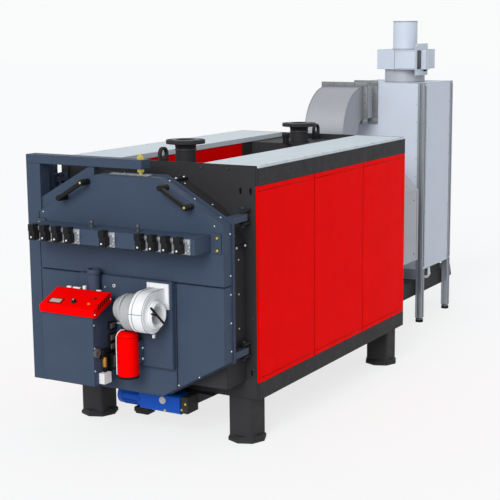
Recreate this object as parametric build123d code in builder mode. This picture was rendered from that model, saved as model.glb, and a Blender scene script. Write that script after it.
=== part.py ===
from build123d import *
import os

os.makedirs("parts", exist_ok=True)

# Driving dimensions of the boiler body, in millimetres
body_width = 1254
body_height = 1260
body_length = 1932
leg_height = 252
end_plate = 15
side_panel = 12
panel_count = 3
panel_gap = 6
top_rail = 105
bottom_rail = 94
cover_width = 341
cover_sheet = 12
cover_lip = 30
lip_sheet = 4
channel_depth = 150
red_wall_end = 1380
casing_front = 1509
casing_drop = 32
vessel_inset = 30
sheet_gap = 0.3
seat_gap = 1

# Legs of square tube on octagonal foot plates
leg_width = 148
leg_depth = 148
leg_bevel = 10
leg_inset = 50
leg_setback = 5
foot_radius = 108
foot_plate = 16
foot_flare = 16
foot_slope = 45

# Flanged water nozzles and lifting eyes
nozzle_bore = 106
nozzle_outer = 114
hub_outer = 124
hub_height = 32
flange_outer = 220
flange_thick = 20
bolt_circle = 180
bolt_hole = 18
bolt_count = 8
nozzle_top = 92
flow_y = 280
return_y = body_length - 298
collar_outer = 146
collar_height = 24
bore_floor = 5
eye_outer = 39
eye_hole = 25
eye_plate = 18
eye_rise = 32
eye_inset = 56

# Slots in the front plate
slot_drop = 134
slot_rise = 146
slot_length = 34
slot_width = 12
slot_pair = 62
slot_inset = 44

# Octagonal door and the turning box behind it
door_half_width = 594
door_half_height = 583
door_flat_half = 199
door_side_half = 363
door_mid_z = 875
door_front = 290
door_depth = 90
back_sheet = 20
door_flange = 10
flange_sheet = 8
cover_bevel = 3
seam = 5
seam_z = 917
seam_x = 297
box_half_width = 546
box_shoulder_drop = 409
box_knee_x = 429
box_knee_drop = 234
box_crown_x = 196
box_crown_drop = 94
box_floor_z = 350
door_gap = 6

# Davit with its post, arm, knee brace and hinges
post_width = 96
post_front = 270
post_depth = 80
post_bottom = 272
column_width = 66
column_inset = 16
column_depth = 62
arm_height = 48
arm_top = 1543
arm_reach = 85
brace_gap = 5
brace_height = 68
brace_end = 230
brace_front = 262
brace_depth = 44
hinge_x = 655
hinge_y = 95
hinge_pin = 24
pin_end = 6
hinge_barrel = 56
hinge_leaf = 40
hinge_height = 66
hinge_levels = (430, 1384)
carrier_left = 652
carrier_width = 50
carrier_sheet = 14
carrier_margin = 32
lug_half = 24
pin_fit = 1
hang_x = 52
hang_bolt = 20
hang_nut = 40
nut_height = 18
bolt_end = 12
strap_width = 44
strap_length = 250
strap_left = 136
strap_sheet = 6

# Lock forks on the free side
lock_levels = (535, 1250)
lock_x = 572
lock_y = 66
lock_pin = 12
lock_gap = 7
lock_prong = 6
lock_height = 38
lock_tip = 20
ear_gap = 10
ear_sheet = 10
ear_width = 28
ear_end = 12

# Air manifold with its valves
manifold_left = 548
manifold_right = 520
manifold_mid_z = 1145
manifold_height = 84
manifold_depth = 150
manifold_tab = 62
manifold_tab_sheet = 6
manifold_tab_height = 108
valve_width = 36
valve_height = 50
valve_depth = 45
valve_corner = 5
valve_plate_width = 68
valve_plate_height = 78
valve_plate_sheet = 8
plug_width = 34
plug_height = 30
plug_shift = 7
valve_plate_shift = 14
valve_drop = 7
valve_stations = (-481, -405, -325, -245, -17, 209, 287, 368, 446)

# Handles on the door
handle_length = 178
handle_grip = 20
handle_reach = 48
handle_x = 328
handle_z = 1371
handle_tilt = 31

# Burner on its mounting plate
burner_plate_width = 600
burner_plate_height = 470
burner_plate_sheet = 30
burner_plate_right = 292
burner_plate_bottom = 455
cabinet_left = -409
cabinet_right = -70
cabinet_front = 520
cabinet_bottom = 366
cabinet_top = 740
console_left = -405
console_right = -47
console_lip = 20
console_edge = 42
console_round = 9
console_slope_rise = 60
console_back = 384
console_back_edge = 49
inlet_outer = 62
inlet_x = -181
inlet_y = 352
inlet_top = 958
inlet_bore = 56

# Blower with a scroll housing
fan_x = 209
fan_y = 424
fan_z = 770
fan_width = 92
scroll_start = 80
scroll_growth = 40
scroll_sweep = 310
scroll_steps = 10
inlet_radius = 48
inlet_depth = 60
inlet_ring = 12
inlet_ring_width = 14
outlet_height = 88
outlet_flange = 136
outlet_flange_sheet = 8
fan_motor_diameter = 190
fan_motor_length = 75
fan_motor_bevel = 14

# Fire-quench vessel beside the burner cabinet
vessel_diameter = 112
vessel_height = 246
vessel_x = 66
vessel_y = 405
vessel_bottom = 415
vessel_dome = 30
vessel_base_bevel = 5
valve_stub = 30
valve_stub_height = 26
valve_lever = 36
valve_lever_sheet = 8
bracket_width = 78

# Sockets and a junction box on the side of the burner cabinet
socket_levels = (668, 604, 556)
socket_y = 370
socket_width = 56
socket_height = 42
socket_depth = 14
socket_corner = 5
relay_z = 480
relay_width = 64
relay_height = 84
relay_depth = 34
junction_y = 450
junction_z = 402
junction_width = 62
junction_height = 58
junction_corner = 4

# Ash trough under the boiler with its drive, and the conveyor behind it
trough_bottom = 176
trough_foot_left = 80
trough_foot_right = 226
trough_flare = 140
trough_front = 40
head_left = 216
head_width = 46
head_bottom = 160
head_depth = 104
gearbox_size = 108
gearbox_round = 20
gearbox_left = -50
motor_diameter = 96
motor_left = -206
motor_round = 20
drive_y = 100
drive_z = 204
conveyor_left = 40
conveyor_bottom = 208
conveyor_height = 120
conveyor_rear = 3660
conveyor_nose = 110
nose_lean = 30
conveyor_gap = 5

# Flue hood, riser elbow and inlet duct
hood_right = 400
hood_left = 410
hood_bottom = 545
hood_shoulder = 1058
hood_top = 1300
hood_rear = 2720
duct_left = -410
duct_right = -100
duct_height = 240
riser_height = 145
elbow_inner = 100
elbow_centre_y = 2830
elbow_frame = 33
inlet_frame = 40
frame_sheet = 14
cabinet_front_y = 3010
inlet_left = -211

# Cyclone cabinet on four adjustable legs
housing_width = 630
housing_length = 580
housing_bottom = 405
housing_top = 1808
post_side = 50
groove_width = 18
groove_depth = 9
panel_set = 4
level_foot_diameter = 56
level_foot_height = 24
stem_diameter = 20
stem_height = 8
cross_channel = 75
hopper_setback = 20
hopper_margin = 100
cyclone_x = 33
cyclone_y = 3300
collar_diameter = 304
extract_bottom = 1905
extract_height = 147
stack_diameter = 184
stack_wall = 3
stack_top = 2265
extract_right = 200
extract_left = -150
extract_front = 3112
extract_rear = 3490
extract_corner = 80
extract_cut = 170
mount_plate = 236
mount_plate_sheet = 6
mount_plate_y = 3214
terminal_box = 148
terminal_length = 70
terminal_depth = 40
terminal_y = 3236

# Values that follow from the ones above
conveyor_right = housing_width / 2 - post_side - conveyor_gap
post_left = door_half_width + post_width
left_reach = post_left
right_reach = body_width / 2
front_reach = cabinet_front + console_lip
rear_reach = conveyor_rear + conveyor_nose
centreline = (left_reach - right_reach) / 2
front_line = (front_reach - rear_reach) / 2


def spot(x, y, z):
    """A point given from the boiler's centreline, its front plate and the floor."""
    return (centreline + x, front_line + y, z)


def facing(x, y, z):
    """A plane at that point whose sketches are seen from the front."""
    return Plane(origin=spot(x, y, z), x_dir=(1, 0, 0), z_dir=(0, -1, 0))


def sideways(x, y, z):
    """A plane at that point whose sketches are seen from the right."""
    return Plane(origin=spot(x, y, z), x_dir=(0, 1, 0), z_dir=(1, 0, 0))


def level(x, y, z):
    """A level plane at that point."""
    return Plane(origin=spot(x, y, z))


def finish(part, label):
    """Name a finished piece and write its file."""
    part.label = label
    export_step(part, "parts/" + label + ".step")


body_top = leg_height + body_height
half = body_width / 2
inner_half = half - side_panel
inner_rear = body_length - end_plate
inner_length = body_length - 2 * end_plate
lower = (Align.CENTER, Align.MIN, Align.MIN)

# Pressure vessel with the open channel along its top and the raised casing at its rear
channel_floor = body_top - channel_depth
channel_half = half - cover_width
wall_outer = channel_half + side_panel
vessel_half = half - vessel_inset - side_panel
rear_eye_y = body_length - eye_inset
eye_pocket = inner_rear - rear_eye_y + eye_outer + seat_gap
casing_mid = (casing_front + inner_rear) / 2
recess_length = casing_front - red_wall_end
with BuildPart() as boiler_body:
    with Locations(spot(0, end_plate, leg_height + seat_gap)):
        Box(2 * vessel_half, inner_length, channel_floor - leg_height - seat_gap, align=lower)
    with BuildSketch(level(0, casing_mid, channel_floor)):
        Rectangle(2 * wall_outer, inner_rear - casing_front)
        with Locations((0, return_y - casing_mid)):
            Circle(collar_outer / 2 + seat_gap, mode=Mode.SUBTRACT)
        with Locations((0, inner_rear - eye_pocket / 2 - casing_mid)):
            Rectangle(eye_plate + 2 * seat_gap, eye_pocket, mode=Mode.SUBTRACT)
    extrude(amount=channel_depth - casing_drop)
    with BuildSketch(level(0, red_wall_end + recess_length / 2, channel_floor)):
        Rectangle(2 * wall_outer, recess_length)
        Rectangle(2 * channel_half, recess_length, mode=Mode.SUBTRACT)
    extrude(amount=channel_depth - casing_drop)
finish(boiler_body.part, "boiler_body")

# End plates, the front one with two pairs of slots on each side and the hinge carrier
slot_x = half - slot_inset
carrier_height = body_height - 2 * carrier_margin
with BuildPart() as front_plate:
    with BuildSketch(facing(0, 0, leg_height + body_height / 2)):
        Rectangle(2 * inner_half, body_height)
    extrude(amount=-end_plate)
    with BuildSketch(facing(carrier_width / 2 - carrier_left, 0, leg_height + body_height / 2)):
        Rectangle(carrier_width, carrier_height)
    extrude(amount=carrier_sheet)
    with BuildSketch(facing(0, 0, 0)):
        for slot_z in (body_top - slot_drop, leg_height + slot_rise):
            with Locations((slot_x, slot_z), (slot_x - slot_pair, slot_z)):
                SlotOverall(slot_length, slot_width, rotation=90)
            with Locations((slot_pair - slot_x, slot_z)):
                SlotOverall(slot_length, slot_width, rotation=90)
    extrude(amount=-end_plate, mode=Mode.SUBTRACT)
finish(front_plate.part, "front_plate")

with BuildPart() as rear_plate:
    with BuildSketch(facing(0, inner_rear, leg_height + body_height / 2)):
        Rectangle(2 * inner_half, body_height)
    extrude(amount=-end_plate)
finish(rear_plate.part, "rear_plate")

# Red cassettes between black rails, the same on both sides
panel_height = body_height - top_rail - bottom_rail
panel_length = (body_length - (panel_count - 1) * panel_gap) / panel_count
panel_pitch = panel_length + panel_gap
panel_z = leg_height + bottom_rail + panel_height / 2
rail_depth = vessel_inset + side_panel
rail_spans = ((leg_height, bottom_rail), (body_top - top_rail, top_rail - cover_sheet))
for side, side_name in ((1, "right"), (-1, "left")):
    with BuildPart() as side_panels:
        for bay in range(panel_count):
            with BuildSketch(sideways(side * half, panel_length / 2 + bay * panel_pitch, panel_z)):
                Rectangle(panel_length, panel_height - 2 * sheet_gap)
            extrude(amount=-side * (side_panel - sheet_gap))
    finish(side_panels.part, "side_panels_" + side_name)

    with BuildPart() as rails:
        for rail_bottom, rail_height in rail_spans:
            with BuildSketch(sideways(side * half, body_length / 2, rail_bottom + rail_height / 2)):
                Rectangle(body_length, rail_height)
            extrude(amount=-side * (side_panel - sheet_gap))
            with BuildSketch(sideways(side * half, body_length / 2, rail_bottom + rail_height / 2)):
                Rectangle(inner_length, rail_height)
            extrude(amount=-side * rail_depth)
    finish(rails.part, "rails_" + side_name)

# Level covers beside the channel, each with a lip folded down along its inner edge
with BuildPart() as top_covers:
    for side in (-1, 1):
        with BuildSketch(facing(0, end_plate, body_top)):
            Polygon(
                (side * half, 0),
                (side * half, -cover_sheet),
                (side * channel_half, -cover_sheet),
                (side * channel_half, -cover_lip),
                (side * (channel_half - lip_sheet), -cover_lip),
                (side * (channel_half - lip_sheet), 0),
                align=None,
            )
        extrude(amount=-inner_length)
finish(top_covers.part, "top_covers")

# Red walls under the inner edges of the covers, up to the recess
wall_length = red_wall_end - end_plate
with BuildPart() as channel_walls:
    for side in (-1, 1):
        wall_x = side * (channel_half + side_panel / 2)
        with BuildSketch(level(wall_x, end_plate + wall_length / 2, channel_floor)):
            Rectangle(side_panel, wall_length)
        extrude(amount=channel_depth - cover_sheet)
finish(channel_walls.part, "channel_walls")

# Legs of bevelled square tube, each on an octagonal plate with a short flare
leg_x = half - leg_inset - leg_width / 2
leg_rows = (leg_setback + leg_depth / 2, body_length - leg_setback - leg_depth / 2)
with BuildPart() as legs:
    for leg_y in leg_rows:
        for side in (-1, 1):
            with BuildSketch(level(side * leg_x, leg_y, foot_plate)) as leg_section:
                Rectangle(leg_width, leg_depth)
                chamfer(leg_section.vertices(), leg_bevel)
            extrude(amount=leg_height - foot_plate)
            with BuildSketch(level(side * leg_x, leg_y, 0)):
                RegularPolygon(foot_radius, 8)
            extrude(amount=foot_plate)
            with BuildSketch(level(side * leg_x, leg_y, foot_plate)):
                RegularPolygon(foot_radius, 8)
            extrude(amount=foot_flare, taper=foot_slope)
finish(legs.part, "legs")

# Water nozzles rising from the channel, each turned with a hub under its flange
nozzle_mouth = body_top + nozzle_top
flange_low = nozzle_mouth - flange_thick
nozzle_profile = [
    (0, channel_floor),
    (collar_outer / 2, channel_floor),
    (collar_outer / 2, channel_floor + collar_height),
    (nozzle_outer / 2, channel_floor + collar_height),
    (nozzle_outer / 2, flange_low - hub_height),
    (hub_outer / 2, flange_low),
    (flange_outer / 2, flange_low),
    (flange_outer / 2, nozzle_mouth),
    (0, nozzle_mouth),
]
for nozzle_name, nozzle_y in (("flow_nozzle", flow_y), ("return_nozzle", return_y)):
    with BuildPart() as nozzle:
        with BuildSketch(facing(0, nozzle_y, 0)):
            Polygon(*nozzle_profile, align=None)
        revolve(axis=Axis(spot(0, nozzle_y, 0), (0, 0, 1)))
        with BuildSketch(level(0, nozzle_y, flange_low)):
            with PolarLocations(bolt_circle / 2, bolt_count, start_angle=180 / bolt_count):
                Circle(bolt_hole / 2)
        extrude(amount=flange_thick, mode=Mode.SUBTRACT)
        with BuildSketch(level(0, nozzle_y, channel_floor + bore_floor)):
            Circle(nozzle_bore / 2)
        extrude(amount=channel_depth + nozzle_top, mode=Mode.SUBTRACT)
    finish(nozzle.part, nozzle_name)

# Lifting eyes standing on the vessel inside the channel
eye_z = body_top + eye_rise
with BuildPart() as lifting_eyes:
    for eye_y in (eye_inset, rear_eye_y):
        with BuildSketch(sideways(eye_plate / 2, eye_y, eye_z)):
            Circle(eye_outer)
            with Locations((0, (channel_floor - eye_z) / 2)):
                Rectangle(2 * eye_outer, eye_z - channel_floor)
            Circle(eye_hole, mode=Mode.SUBTRACT)
        extrude(amount=-eye_plate)
finish(lifting_eyes.part, "lifting_eyes")

# Turning box on the front plate, behind the door, with an arched outline
box_right = [
    (box_half_width, box_floor_z),
    (box_half_width, body_top - box_shoulder_drop),
    (box_knee_x, body_top - box_knee_drop),
    (box_crown_x, body_top - box_crown_drop),
]
box_left = [(-x, z) for x, z in reversed(box_right)]
frame_back = door_front - door_depth
with BuildPart() as turning_box:
    with BuildSketch(facing(0, 0, 0)):
        Polygon(*box_right, *box_left, align=None)
    extrude(amount=frame_back - door_gap)
finish(turning_box.part, "turning_box")

# Door: a back plate with a flange all round but on the davit side, and deep covers before it
octagon_right = [
    (door_flat_half, -door_half_height),
    (door_half_width, -door_side_half),
    (door_half_width, door_side_half),
    (door_flat_half, door_half_height),
]
octagon = octagon_right + [(-x, z) for x, z in reversed(octagon_right)]
cover_seat = frame_back + back_sheet
cover_depth = door_depth - back_sheet
with BuildPart() as door_frame:
    with BuildSketch(facing(0, -frame_back, door_mid_z)):
        Polygon(*octagon, align=None)
    extrude(amount=back_sheet)
    with BuildSketch(facing(0, -frame_back, door_mid_z)):
        Polygon(*octagon, align=None)
        offset(amount=door_flange, kind=Kind.INTERSECTION)
        with Locations((-door_half_width - door_flange, 0)):
            Rectangle(2 * door_flange, 2 * door_half_height, mode=Mode.SUBTRACT)
    extrude(amount=flange_sheet)
finish(door_frame.part, "door_frame")

upper_z = seam_z - door_mid_z
with BuildPart() as door_upper_cover:
    with BuildSketch(facing(0, -cover_seat, door_mid_z)):
        Polygon(*octagon, align=None)
        with Locations((0, upper_z + seam / 2 - door_half_height)):
            Rectangle(4 * door_half_width, 2 * door_half_height, mode=Mode.SUBTRACT)
    extrude(amount=cover_depth)
    chamfer(door_upper_cover.faces().sort_by(Axis.Y)[0].edges(), cover_bevel)
finish(door_upper_cover.part, "door_upper_cover")

with BuildPart() as door_lower_covers:
    with BuildSketch(facing(0, -cover_seat, door_mid_z)):
        Polygon(*octagon, align=None)
        with Locations((0, upper_z - seam / 2 + door_half_height)):
            Rectangle(4 * door_half_width, 2 * door_half_height, mode=Mode.SUBTRACT)
        with Locations((seam_x, 0)):
            Rectangle(seam, 4 * door_half_height, mode=Mode.SUBTRACT)
    extrude(amount=cover_depth)
    chamfer(door_lower_covers.faces().sort_by(Axis.Y)[0:2].edges(), cover_bevel)
finish(door_lower_covers.part, "door_lower_covers")

# Davit post: a tube beside the door, the hinge column behind it and the hinge barrels
post_x = (post_width / 2) - post_left
post_top = arm_top - arm_height
post_y = post_depth / 2 - post_front
column_front = post_front - post_depth
column_x = post_x + (post_width - column_width) / 2 - column_inset
barrel_third = hinge_height / 3
leaf_reach = column_front - column_depth - hinge_y
with BuildPart() as davit_post:
    with BuildSketch(level(post_x, post_y, post_bottom)):
        Rectangle(post_width, post_depth)
    extrude(amount=post_top - post_bottom)
    with BuildSketch(level(column_x, column_depth / 2 - column_front, post_bottom)):
        Rectangle(column_width, column_depth)
    extrude(amount=post_top - post_bottom)
    for hinge_z in hinge_levels:
        for tier in (-1, 1):
            barrel_z = hinge_z + tier * (barrel_third + pin_fit) - barrel_third / 2
            with BuildSketch(level(-hinge_x, -hinge_y, barrel_z)):
                Circle(hinge_barrel / 2)
                with Locations((0, -leaf_reach / 2)):
                    Rectangle(hinge_leaf, leaf_reach)
            extrude(amount=barrel_third)
        with BuildSketch(level(-hinge_x, -hinge_y, hinge_z - hinge_height / 2 - pin_end)):
            Circle(hinge_pin / 2)
        extrude(amount=hinge_height + 2 * pin_end)
finish(davit_post.part, "davit_post")

# Davit arm over the door, and the knee brace that follows the door's corner
arm_length = post_left + arm_reach
arm_x = (arm_reach - post_left) / 2
corner_slope = (door_half_height - door_side_half) / (door_half_width - door_flat_half)
brace_low = door_mid_z + door_side_half + brace_gap
brace_run = (post_top - brace_low - brace_height) / corner_slope
with BuildPart() as davit_arm:
    with BuildSketch(level(arm_x, post_y, post_top)):
        Rectangle(arm_length, post_depth)
        with Locations((hang_x - arm_x, 0)):
            Circle(hang_bolt / 2 + pin_fit, mode=Mode.SUBTRACT)
    extrude(amount=arm_height)
    with BuildSketch(facing(0, brace_depth - brace_front, 0)):
        Polygon(
            (-door_half_width, brace_low),
            (-brace_end, brace_low + (door_half_width - brace_end) * corner_slope),
            (-brace_end, post_top),
            (brace_run - door_half_width, post_top),
            (-door_half_width, brace_low + brace_height),
            align=None,
        )
    extrude(amount=brace_depth)
finish(davit_arm.part, "davit_arm")

# Suspension bolt with its two nuts, and the strap on top of the door
door_top = door_mid_z + door_half_height
strap_top = door_top + strap_sheet
with BuildPart() as suspension_bolt:
    with BuildSketch(level(strap_length / 2 - strap_left, post_y, door_top)):
        Rectangle(strap_length, strap_width)
    extrude(amount=strap_sheet)
    with BuildSketch(level(hang_x, post_y, strap_top)):
        Circle(hang_bolt / 2)
    extrude(amount=arm_top + nut_height + bolt_end - strap_top)
    for nut_z in (arm_top, post_top - nut_height):
        with BuildSketch(level(hang_x, post_y, nut_z)):
            RegularPolygon(hang_nut / 2, 6)
        extrude(amount=nut_height)
finish(suspension_bolt.part, "suspension_bolt")

# Hinge lugs on the carrier, between the barrels of the post
lug_root = hinge_x - carrier_left
lug_reach = hinge_y - carrier_sheet
with BuildPart() as hinge_lugs:
    for hinge_z in hinge_levels:
        with BuildSketch(level(-hinge_x, -hinge_y, hinge_z - barrel_third / 2)):
            Circle(hinge_barrel / 2)
            Polygon(
                (-lug_half, 0),
                (lug_root, lug_reach),
                (lug_root + carrier_width, lug_reach),
                (lug_half, 0),
                align=None,
            )
            Circle(hinge_pin / 2 + pin_fit, mode=Mode.SUBTRACT)
        extrude(amount=barrel_third)
finish(hinge_lugs.part, "hinge_lugs")

# Lock forks on the door's back, each open towards the boiler round an upright pin
fork_length = frame_back - lock_y + lock_tip
fork_slot = lock_tip + lock_pin / 2 + lock_gap
with BuildPart() as lock_forks:
    for lock_z in lock_levels:
        with BuildSketch(level(lock_x, -frame_back, lock_z - lock_height / 2)):
            with Locations((0, fork_length / 2)):
                Rectangle(2 * lock_prong + 2 * lock_gap + lock_pin, fork_length)
            with Locations((0, fork_length - fork_slot / 2)):
                Rectangle(lock_pin + 2 * lock_gap, fork_slot, mode=Mode.SUBTRACT)
        extrude(amount=lock_height)
finish(lock_forks.part, "lock_forks")

ear_reach = lock_y + ear_end
pin_half = lock_height / 2 + ear_gap + ear_sheet + pin_end
with BuildPart() as lock_pins:
    for lock_z in lock_levels:
        for tier in (-1, 1):
            ear_z = lock_z + tier * (lock_height / 2 + ear_gap + ear_sheet / 2) - ear_sheet / 2
            with BuildSketch(level(lock_x, -ear_reach / 2, ear_z)):
                Rectangle(ear_width, ear_reach)
            extrude(amount=ear_sheet)
        with BuildSketch(level(lock_x, -lock_y, lock_z - pin_half)):
            Circle(lock_pin / 2)
        extrude(amount=2 * pin_half)
finish(lock_pins.part, "lock_pins")

# Air manifold of square tube with end tabs on the door
manifold_front = door_front + manifold_depth
with BuildPart() as air_manifold:
    with BuildSketch(sideways(-manifold_left, -(door_front + manifold_depth / 2), manifold_mid_z)):
        Rectangle(manifold_depth, manifold_height)
    extrude(amount=manifold_left + manifold_right)
    for tab_x in (-manifold_left - manifold_tab / 2, manifold_right + manifold_tab / 2):
        with BuildSketch(facing(tab_x, -door_front, manifold_mid_z)):
            Rectangle(manifold_tab, manifold_tab_height)
        extrude(amount=manifold_tab_sheet)
finish(air_manifold.part, "air_manifold")

# Solenoid valves, each a body plate, a coil and a plug above it
plate_face = manifold_front + valve_plate_sheet
plug_z = (valve_height + plug_height) / 2
with BuildPart() as solenoid_valves:
    for valve_x in valve_stations:
        with BuildSketch(facing(valve_x + valve_plate_shift, -manifold_front, manifold_mid_z)):
            RectangleRounded(valve_plate_width, valve_plate_height, valve_corner)
        extrude(amount=valve_plate_sheet)
        with BuildSketch(facing(valve_x, -plate_face, manifold_mid_z - valve_drop)):
            RectangleRounded(valve_width, valve_height, valve_corner)
            with Locations((-plug_shift, plug_z)):
                Rectangle(plug_width, plug_height + valve_corner)
        extrude(amount=valve_depth)
finish(solenoid_valves.part, "solenoid_valves")

# Handles, each a flat-ended bar on two stand-offs
with BuildPart() as door_handles:
    for side in (-1, 1):
        with BuildSketch(facing(side * handle_x, -door_front, handle_z)):
            with PolarLocations(handle_length / 2 - handle_grip / 2, 2, start_angle=-side * handle_tilt):
                Circle(handle_grip / 2)
        extrude(amount=handle_reach)
        with BuildSketch(facing(side * handle_x, -door_front - handle_reach, handle_z)):
            SlotOverall(handle_length, handle_grip, rotation=-side * handle_tilt)
        extrude(amount=handle_grip)
finish(door_handles.part, "door_handles")

# Burner mounting plate, a shallow pan
burner_plate_x = burner_plate_right - burner_plate_width / 2
burner_plate_z = burner_plate_bottom + burner_plate_height / 2
with BuildPart() as burner_plate:
    with BuildSketch(facing(burner_plate_x, -door_front, burner_plate_z)):
        Rectangle(burner_plate_width, burner_plate_height)
    extrude(amount=burner_plate_sheet)
    chamfer(burner_plate.faces().sort_by(Axis.Y)[0].edges(), cover_bevel)
finish(burner_plate.part, "burner_plate")

# Burner cabinet with the sloping console on top of it, and the pellet inlet behind
plate_front = door_front + burner_plate_sheet
cabinet_width = cabinet_right - cabinet_left
console_seat = cabinet_top + console_slope_rise
with BuildPart() as burner_cabinet:
    with BuildSketch(sideways(cabinet_left, 0, 0)):
        Polygon(
            (-plate_front, cabinet_bottom),
            (-cabinet_front, cabinet_bottom),
            (-cabinet_front, cabinet_top),
            (-console_back, console_seat),
            (-plate_front, console_seat),
            align=None,
        )
    extrude(amount=cabinet_width)
finish(burner_cabinet.part, "burner_cabinet")

with BuildPart() as control_console:
    with BuildSketch(sideways(console_left, 0, 0)):
        Polygon(
            (-console_back, console_seat),
            (-cabinet_front, cabinet_top),
            (-front_reach, cabinet_top),
            (-front_reach, cabinet_top + console_edge),
            (-console_back, console_seat + console_back_edge),
            align=None,
        )
    extrude(amount=console_right - console_left)
    fillet(control_console.edges().filter_by(Axis.X).group_by(Axis.Y)[0], console_round)
finish(control_console.part, "control_console")

with BuildPart() as pellet_inlet:
    with BuildSketch(level(inlet_x, -inlet_y, console_seat)):
        Circle(inlet_outer / 2)
        Circle(inlet_bore / 2, mode=Mode.SUBTRACT)
    extrude(amount=inlet_top - console_seat)
finish(pellet_inlet.part, "pellet_inlet")

# Blower: a scroll that grows round its shaft and blows back through the door
scroll_half = fan_width / 2
scroll_top = scroll_start + scroll_growth
outlet_reach = fan_y - plate_front - outlet_flange_sheet
scroll_marks = range(scroll_steps + 1)


def scroll_point(turn):
    """A point of the scroll, given its sweep in degrees from the cut-off."""
    reach = scroll_start + scroll_growth * turn / scroll_sweep
    return Vector(0, reach).rotate(Axis.Z, scroll_sweep - 360 - turn)


with BuildPart() as blower_housing:
    with BuildSketch(sideways(fan_x - scroll_half, -fan_y, fan_z)):
        with BuildLine():
            outer = Spline(*[scroll_point(scroll_sweep * i / scroll_steps) for i in scroll_marks])
            mouth = [(outlet_reach, scroll_top), (outlet_reach, scroll_top - outlet_height)]
            Polyline(outer @ 1, *mouth, outer @ 0)
        make_face()
    extrude(amount=fan_width)
    with BuildSketch(sideways(fan_x + scroll_half, -fan_y, fan_z)):
        Circle(inlet_radius + inlet_ring)
    extrude(amount=inlet_ring_width)
    with BuildSketch(sideways(fan_x + scroll_half + inlet_ring_width, -fan_y, fan_z)):
        Circle(inlet_radius)
    extrude(amount=-inlet_depth, mode=Mode.SUBTRACT)
    with BuildSketch(facing(fan_x, -plate_front, fan_z + scroll_top - outlet_height / 2)):
        Rectangle(outlet_flange, outlet_flange)
    extrude(amount=outlet_flange_sheet)
finish(blower_housing.part, "blower_housing")

with BuildPart() as blower_motor:
    with BuildSketch(sideways(fan_x - scroll_half, -fan_y, fan_z)):
        Circle(fan_motor_diameter / 2)
    extrude(amount=-fan_motor_length)
    chamfer(blower_motor.faces().sort_by(Axis.X)[0].edges(), fan_motor_bevel)
finish(blower_motor.part, "blower_motor")

# Fire-quench vessel, its valve and the bracket that holds it
with BuildPart() as quench_vessel:
    with BuildSketch(level(vessel_x, -vessel_y, vessel_bottom)):
        Circle(vessel_diameter / 2)
    extrude(amount=vessel_height)
    fillet(quench_vessel.faces().sort_by(Axis.Z)[-1].edges(), vessel_dome)
    chamfer(quench_vessel.faces().sort_by(Axis.Z)[0].edges(), vessel_base_bevel)
finish(quench_vessel.part, "quench_vessel")

valve_base = vessel_bottom + vessel_height
with BuildPart() as quench_valve:
    with BuildSketch(level(vessel_x, -vessel_y, valve_base)):
        Circle(valve_stub / 2)
    extrude(amount=valve_stub_height)
    with BuildSketch(level(vessel_x, -vessel_y, valve_base + valve_stub_height)):
        Rectangle(valve_lever, valve_stub)
    extrude(amount=valve_lever_sheet)
finish(quench_valve.part, "quench_valve")

with BuildPart() as vessel_bracket:
    with BuildSketch(level(vessel_x, -plate_front, vessel_bottom + vessel_height / 4)):
        with Locations((0, (plate_front - vessel_y) / 2)):
            Rectangle(bracket_width, vessel_y - plate_front)
        with Locations((0, plate_front - vessel_y)):
            Circle(vessel_diameter / 2 + sheet_gap, mode=Mode.SUBTRACT)
    extrude(amount=vessel_height / 2)
finish(vessel_bracket.part, "vessel_bracket")

# Sockets, a relay box and a junction box on the side of the burner cabinet
with BuildPart() as side_sockets:
    for socket_z in socket_levels:
        with BuildSketch(sideways(cabinet_right, -socket_y, socket_z)):
            RectangleRounded(socket_width, socket_height, socket_corner)
        extrude(amount=socket_depth)
    with BuildSketch(sideways(cabinet_right, -socket_y, relay_z)):
        Rectangle(relay_width, relay_height)
    extrude(amount=relay_depth)
finish(side_sockets.part, "side_sockets")

with BuildPart() as junction_box:
    with BuildSketch(sideways(cabinet_right, -junction_y, junction_z)):
        RectangleRounded(junction_width, junction_height, junction_corner)
    extrude(amount=relay_depth)
finish(junction_box.part, "junction_box")

# Ash trough with flared sides under the vessel, and its head in front
trough_height = leg_height - trough_bottom - sheet_gap
trough_section = [
    (trough_foot_left, 0),
    (trough_foot_right, 0),
    (trough_foot_right + trough_flare, trough_height),
    (trough_foot_left - trough_flare, trough_height),
]
head_height = leg_height - sheet_gap - head_bottom
with BuildPart() as ash_trough:
    with BuildSketch(facing(0, -trough_front, trough_bottom)):
        Polygon(*trough_section, align=None)
    extrude(amount=-(trough_front + inner_rear))
    with BuildSketch(facing(head_left + head_width / 2, -trough_front, head_bottom + head_height / 2)):
        Rectangle(head_width, head_height)
    extrude(amount=head_depth)
finish(ash_trough.part, "ash_trough")

# Gearmotor that drives the ash screw from the head of the trough
with BuildPart() as ash_gearmotor:
    with BuildSketch(sideways(head_left, -drive_y, drive_z)):
        RectangleRounded(gearbox_size, gearbox_size, gearbox_round)
    extrude(amount=gearbox_left - head_left)
    with BuildSketch(sideways(gearbox_left, -drive_y, drive_z)):
        Circle(motor_diameter / 2)
    extrude(amount=motor_left - gearbox_left)
    fillet(ash_gearmotor.faces().sort_by(Axis.X)[0].edges(), motor_round)
finish(ash_gearmotor.part, "ash_gearmotor")

# Ash conveyor running back from the boiler under the cyclone cabinet
conveyor_top = conveyor_bottom + conveyor_height
nose_rear = conveyor_rear + conveyor_nose
with BuildPart() as ash_conveyor:
    with BuildSketch(sideways(conveyor_left, 0, 0)):
        Polygon(
            (body_length, conveyor_bottom),
            (conveyor_rear, conveyor_bottom),
            (nose_rear, conveyor_bottom + nose_lean),
            (nose_rear - nose_lean, conveyor_top),
            (body_length, conveyor_top),
            align=None,
        )
    extrude(amount=conveyor_right - conveyor_left)
finish(ash_conveyor.part, "ash_conveyor")

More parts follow.
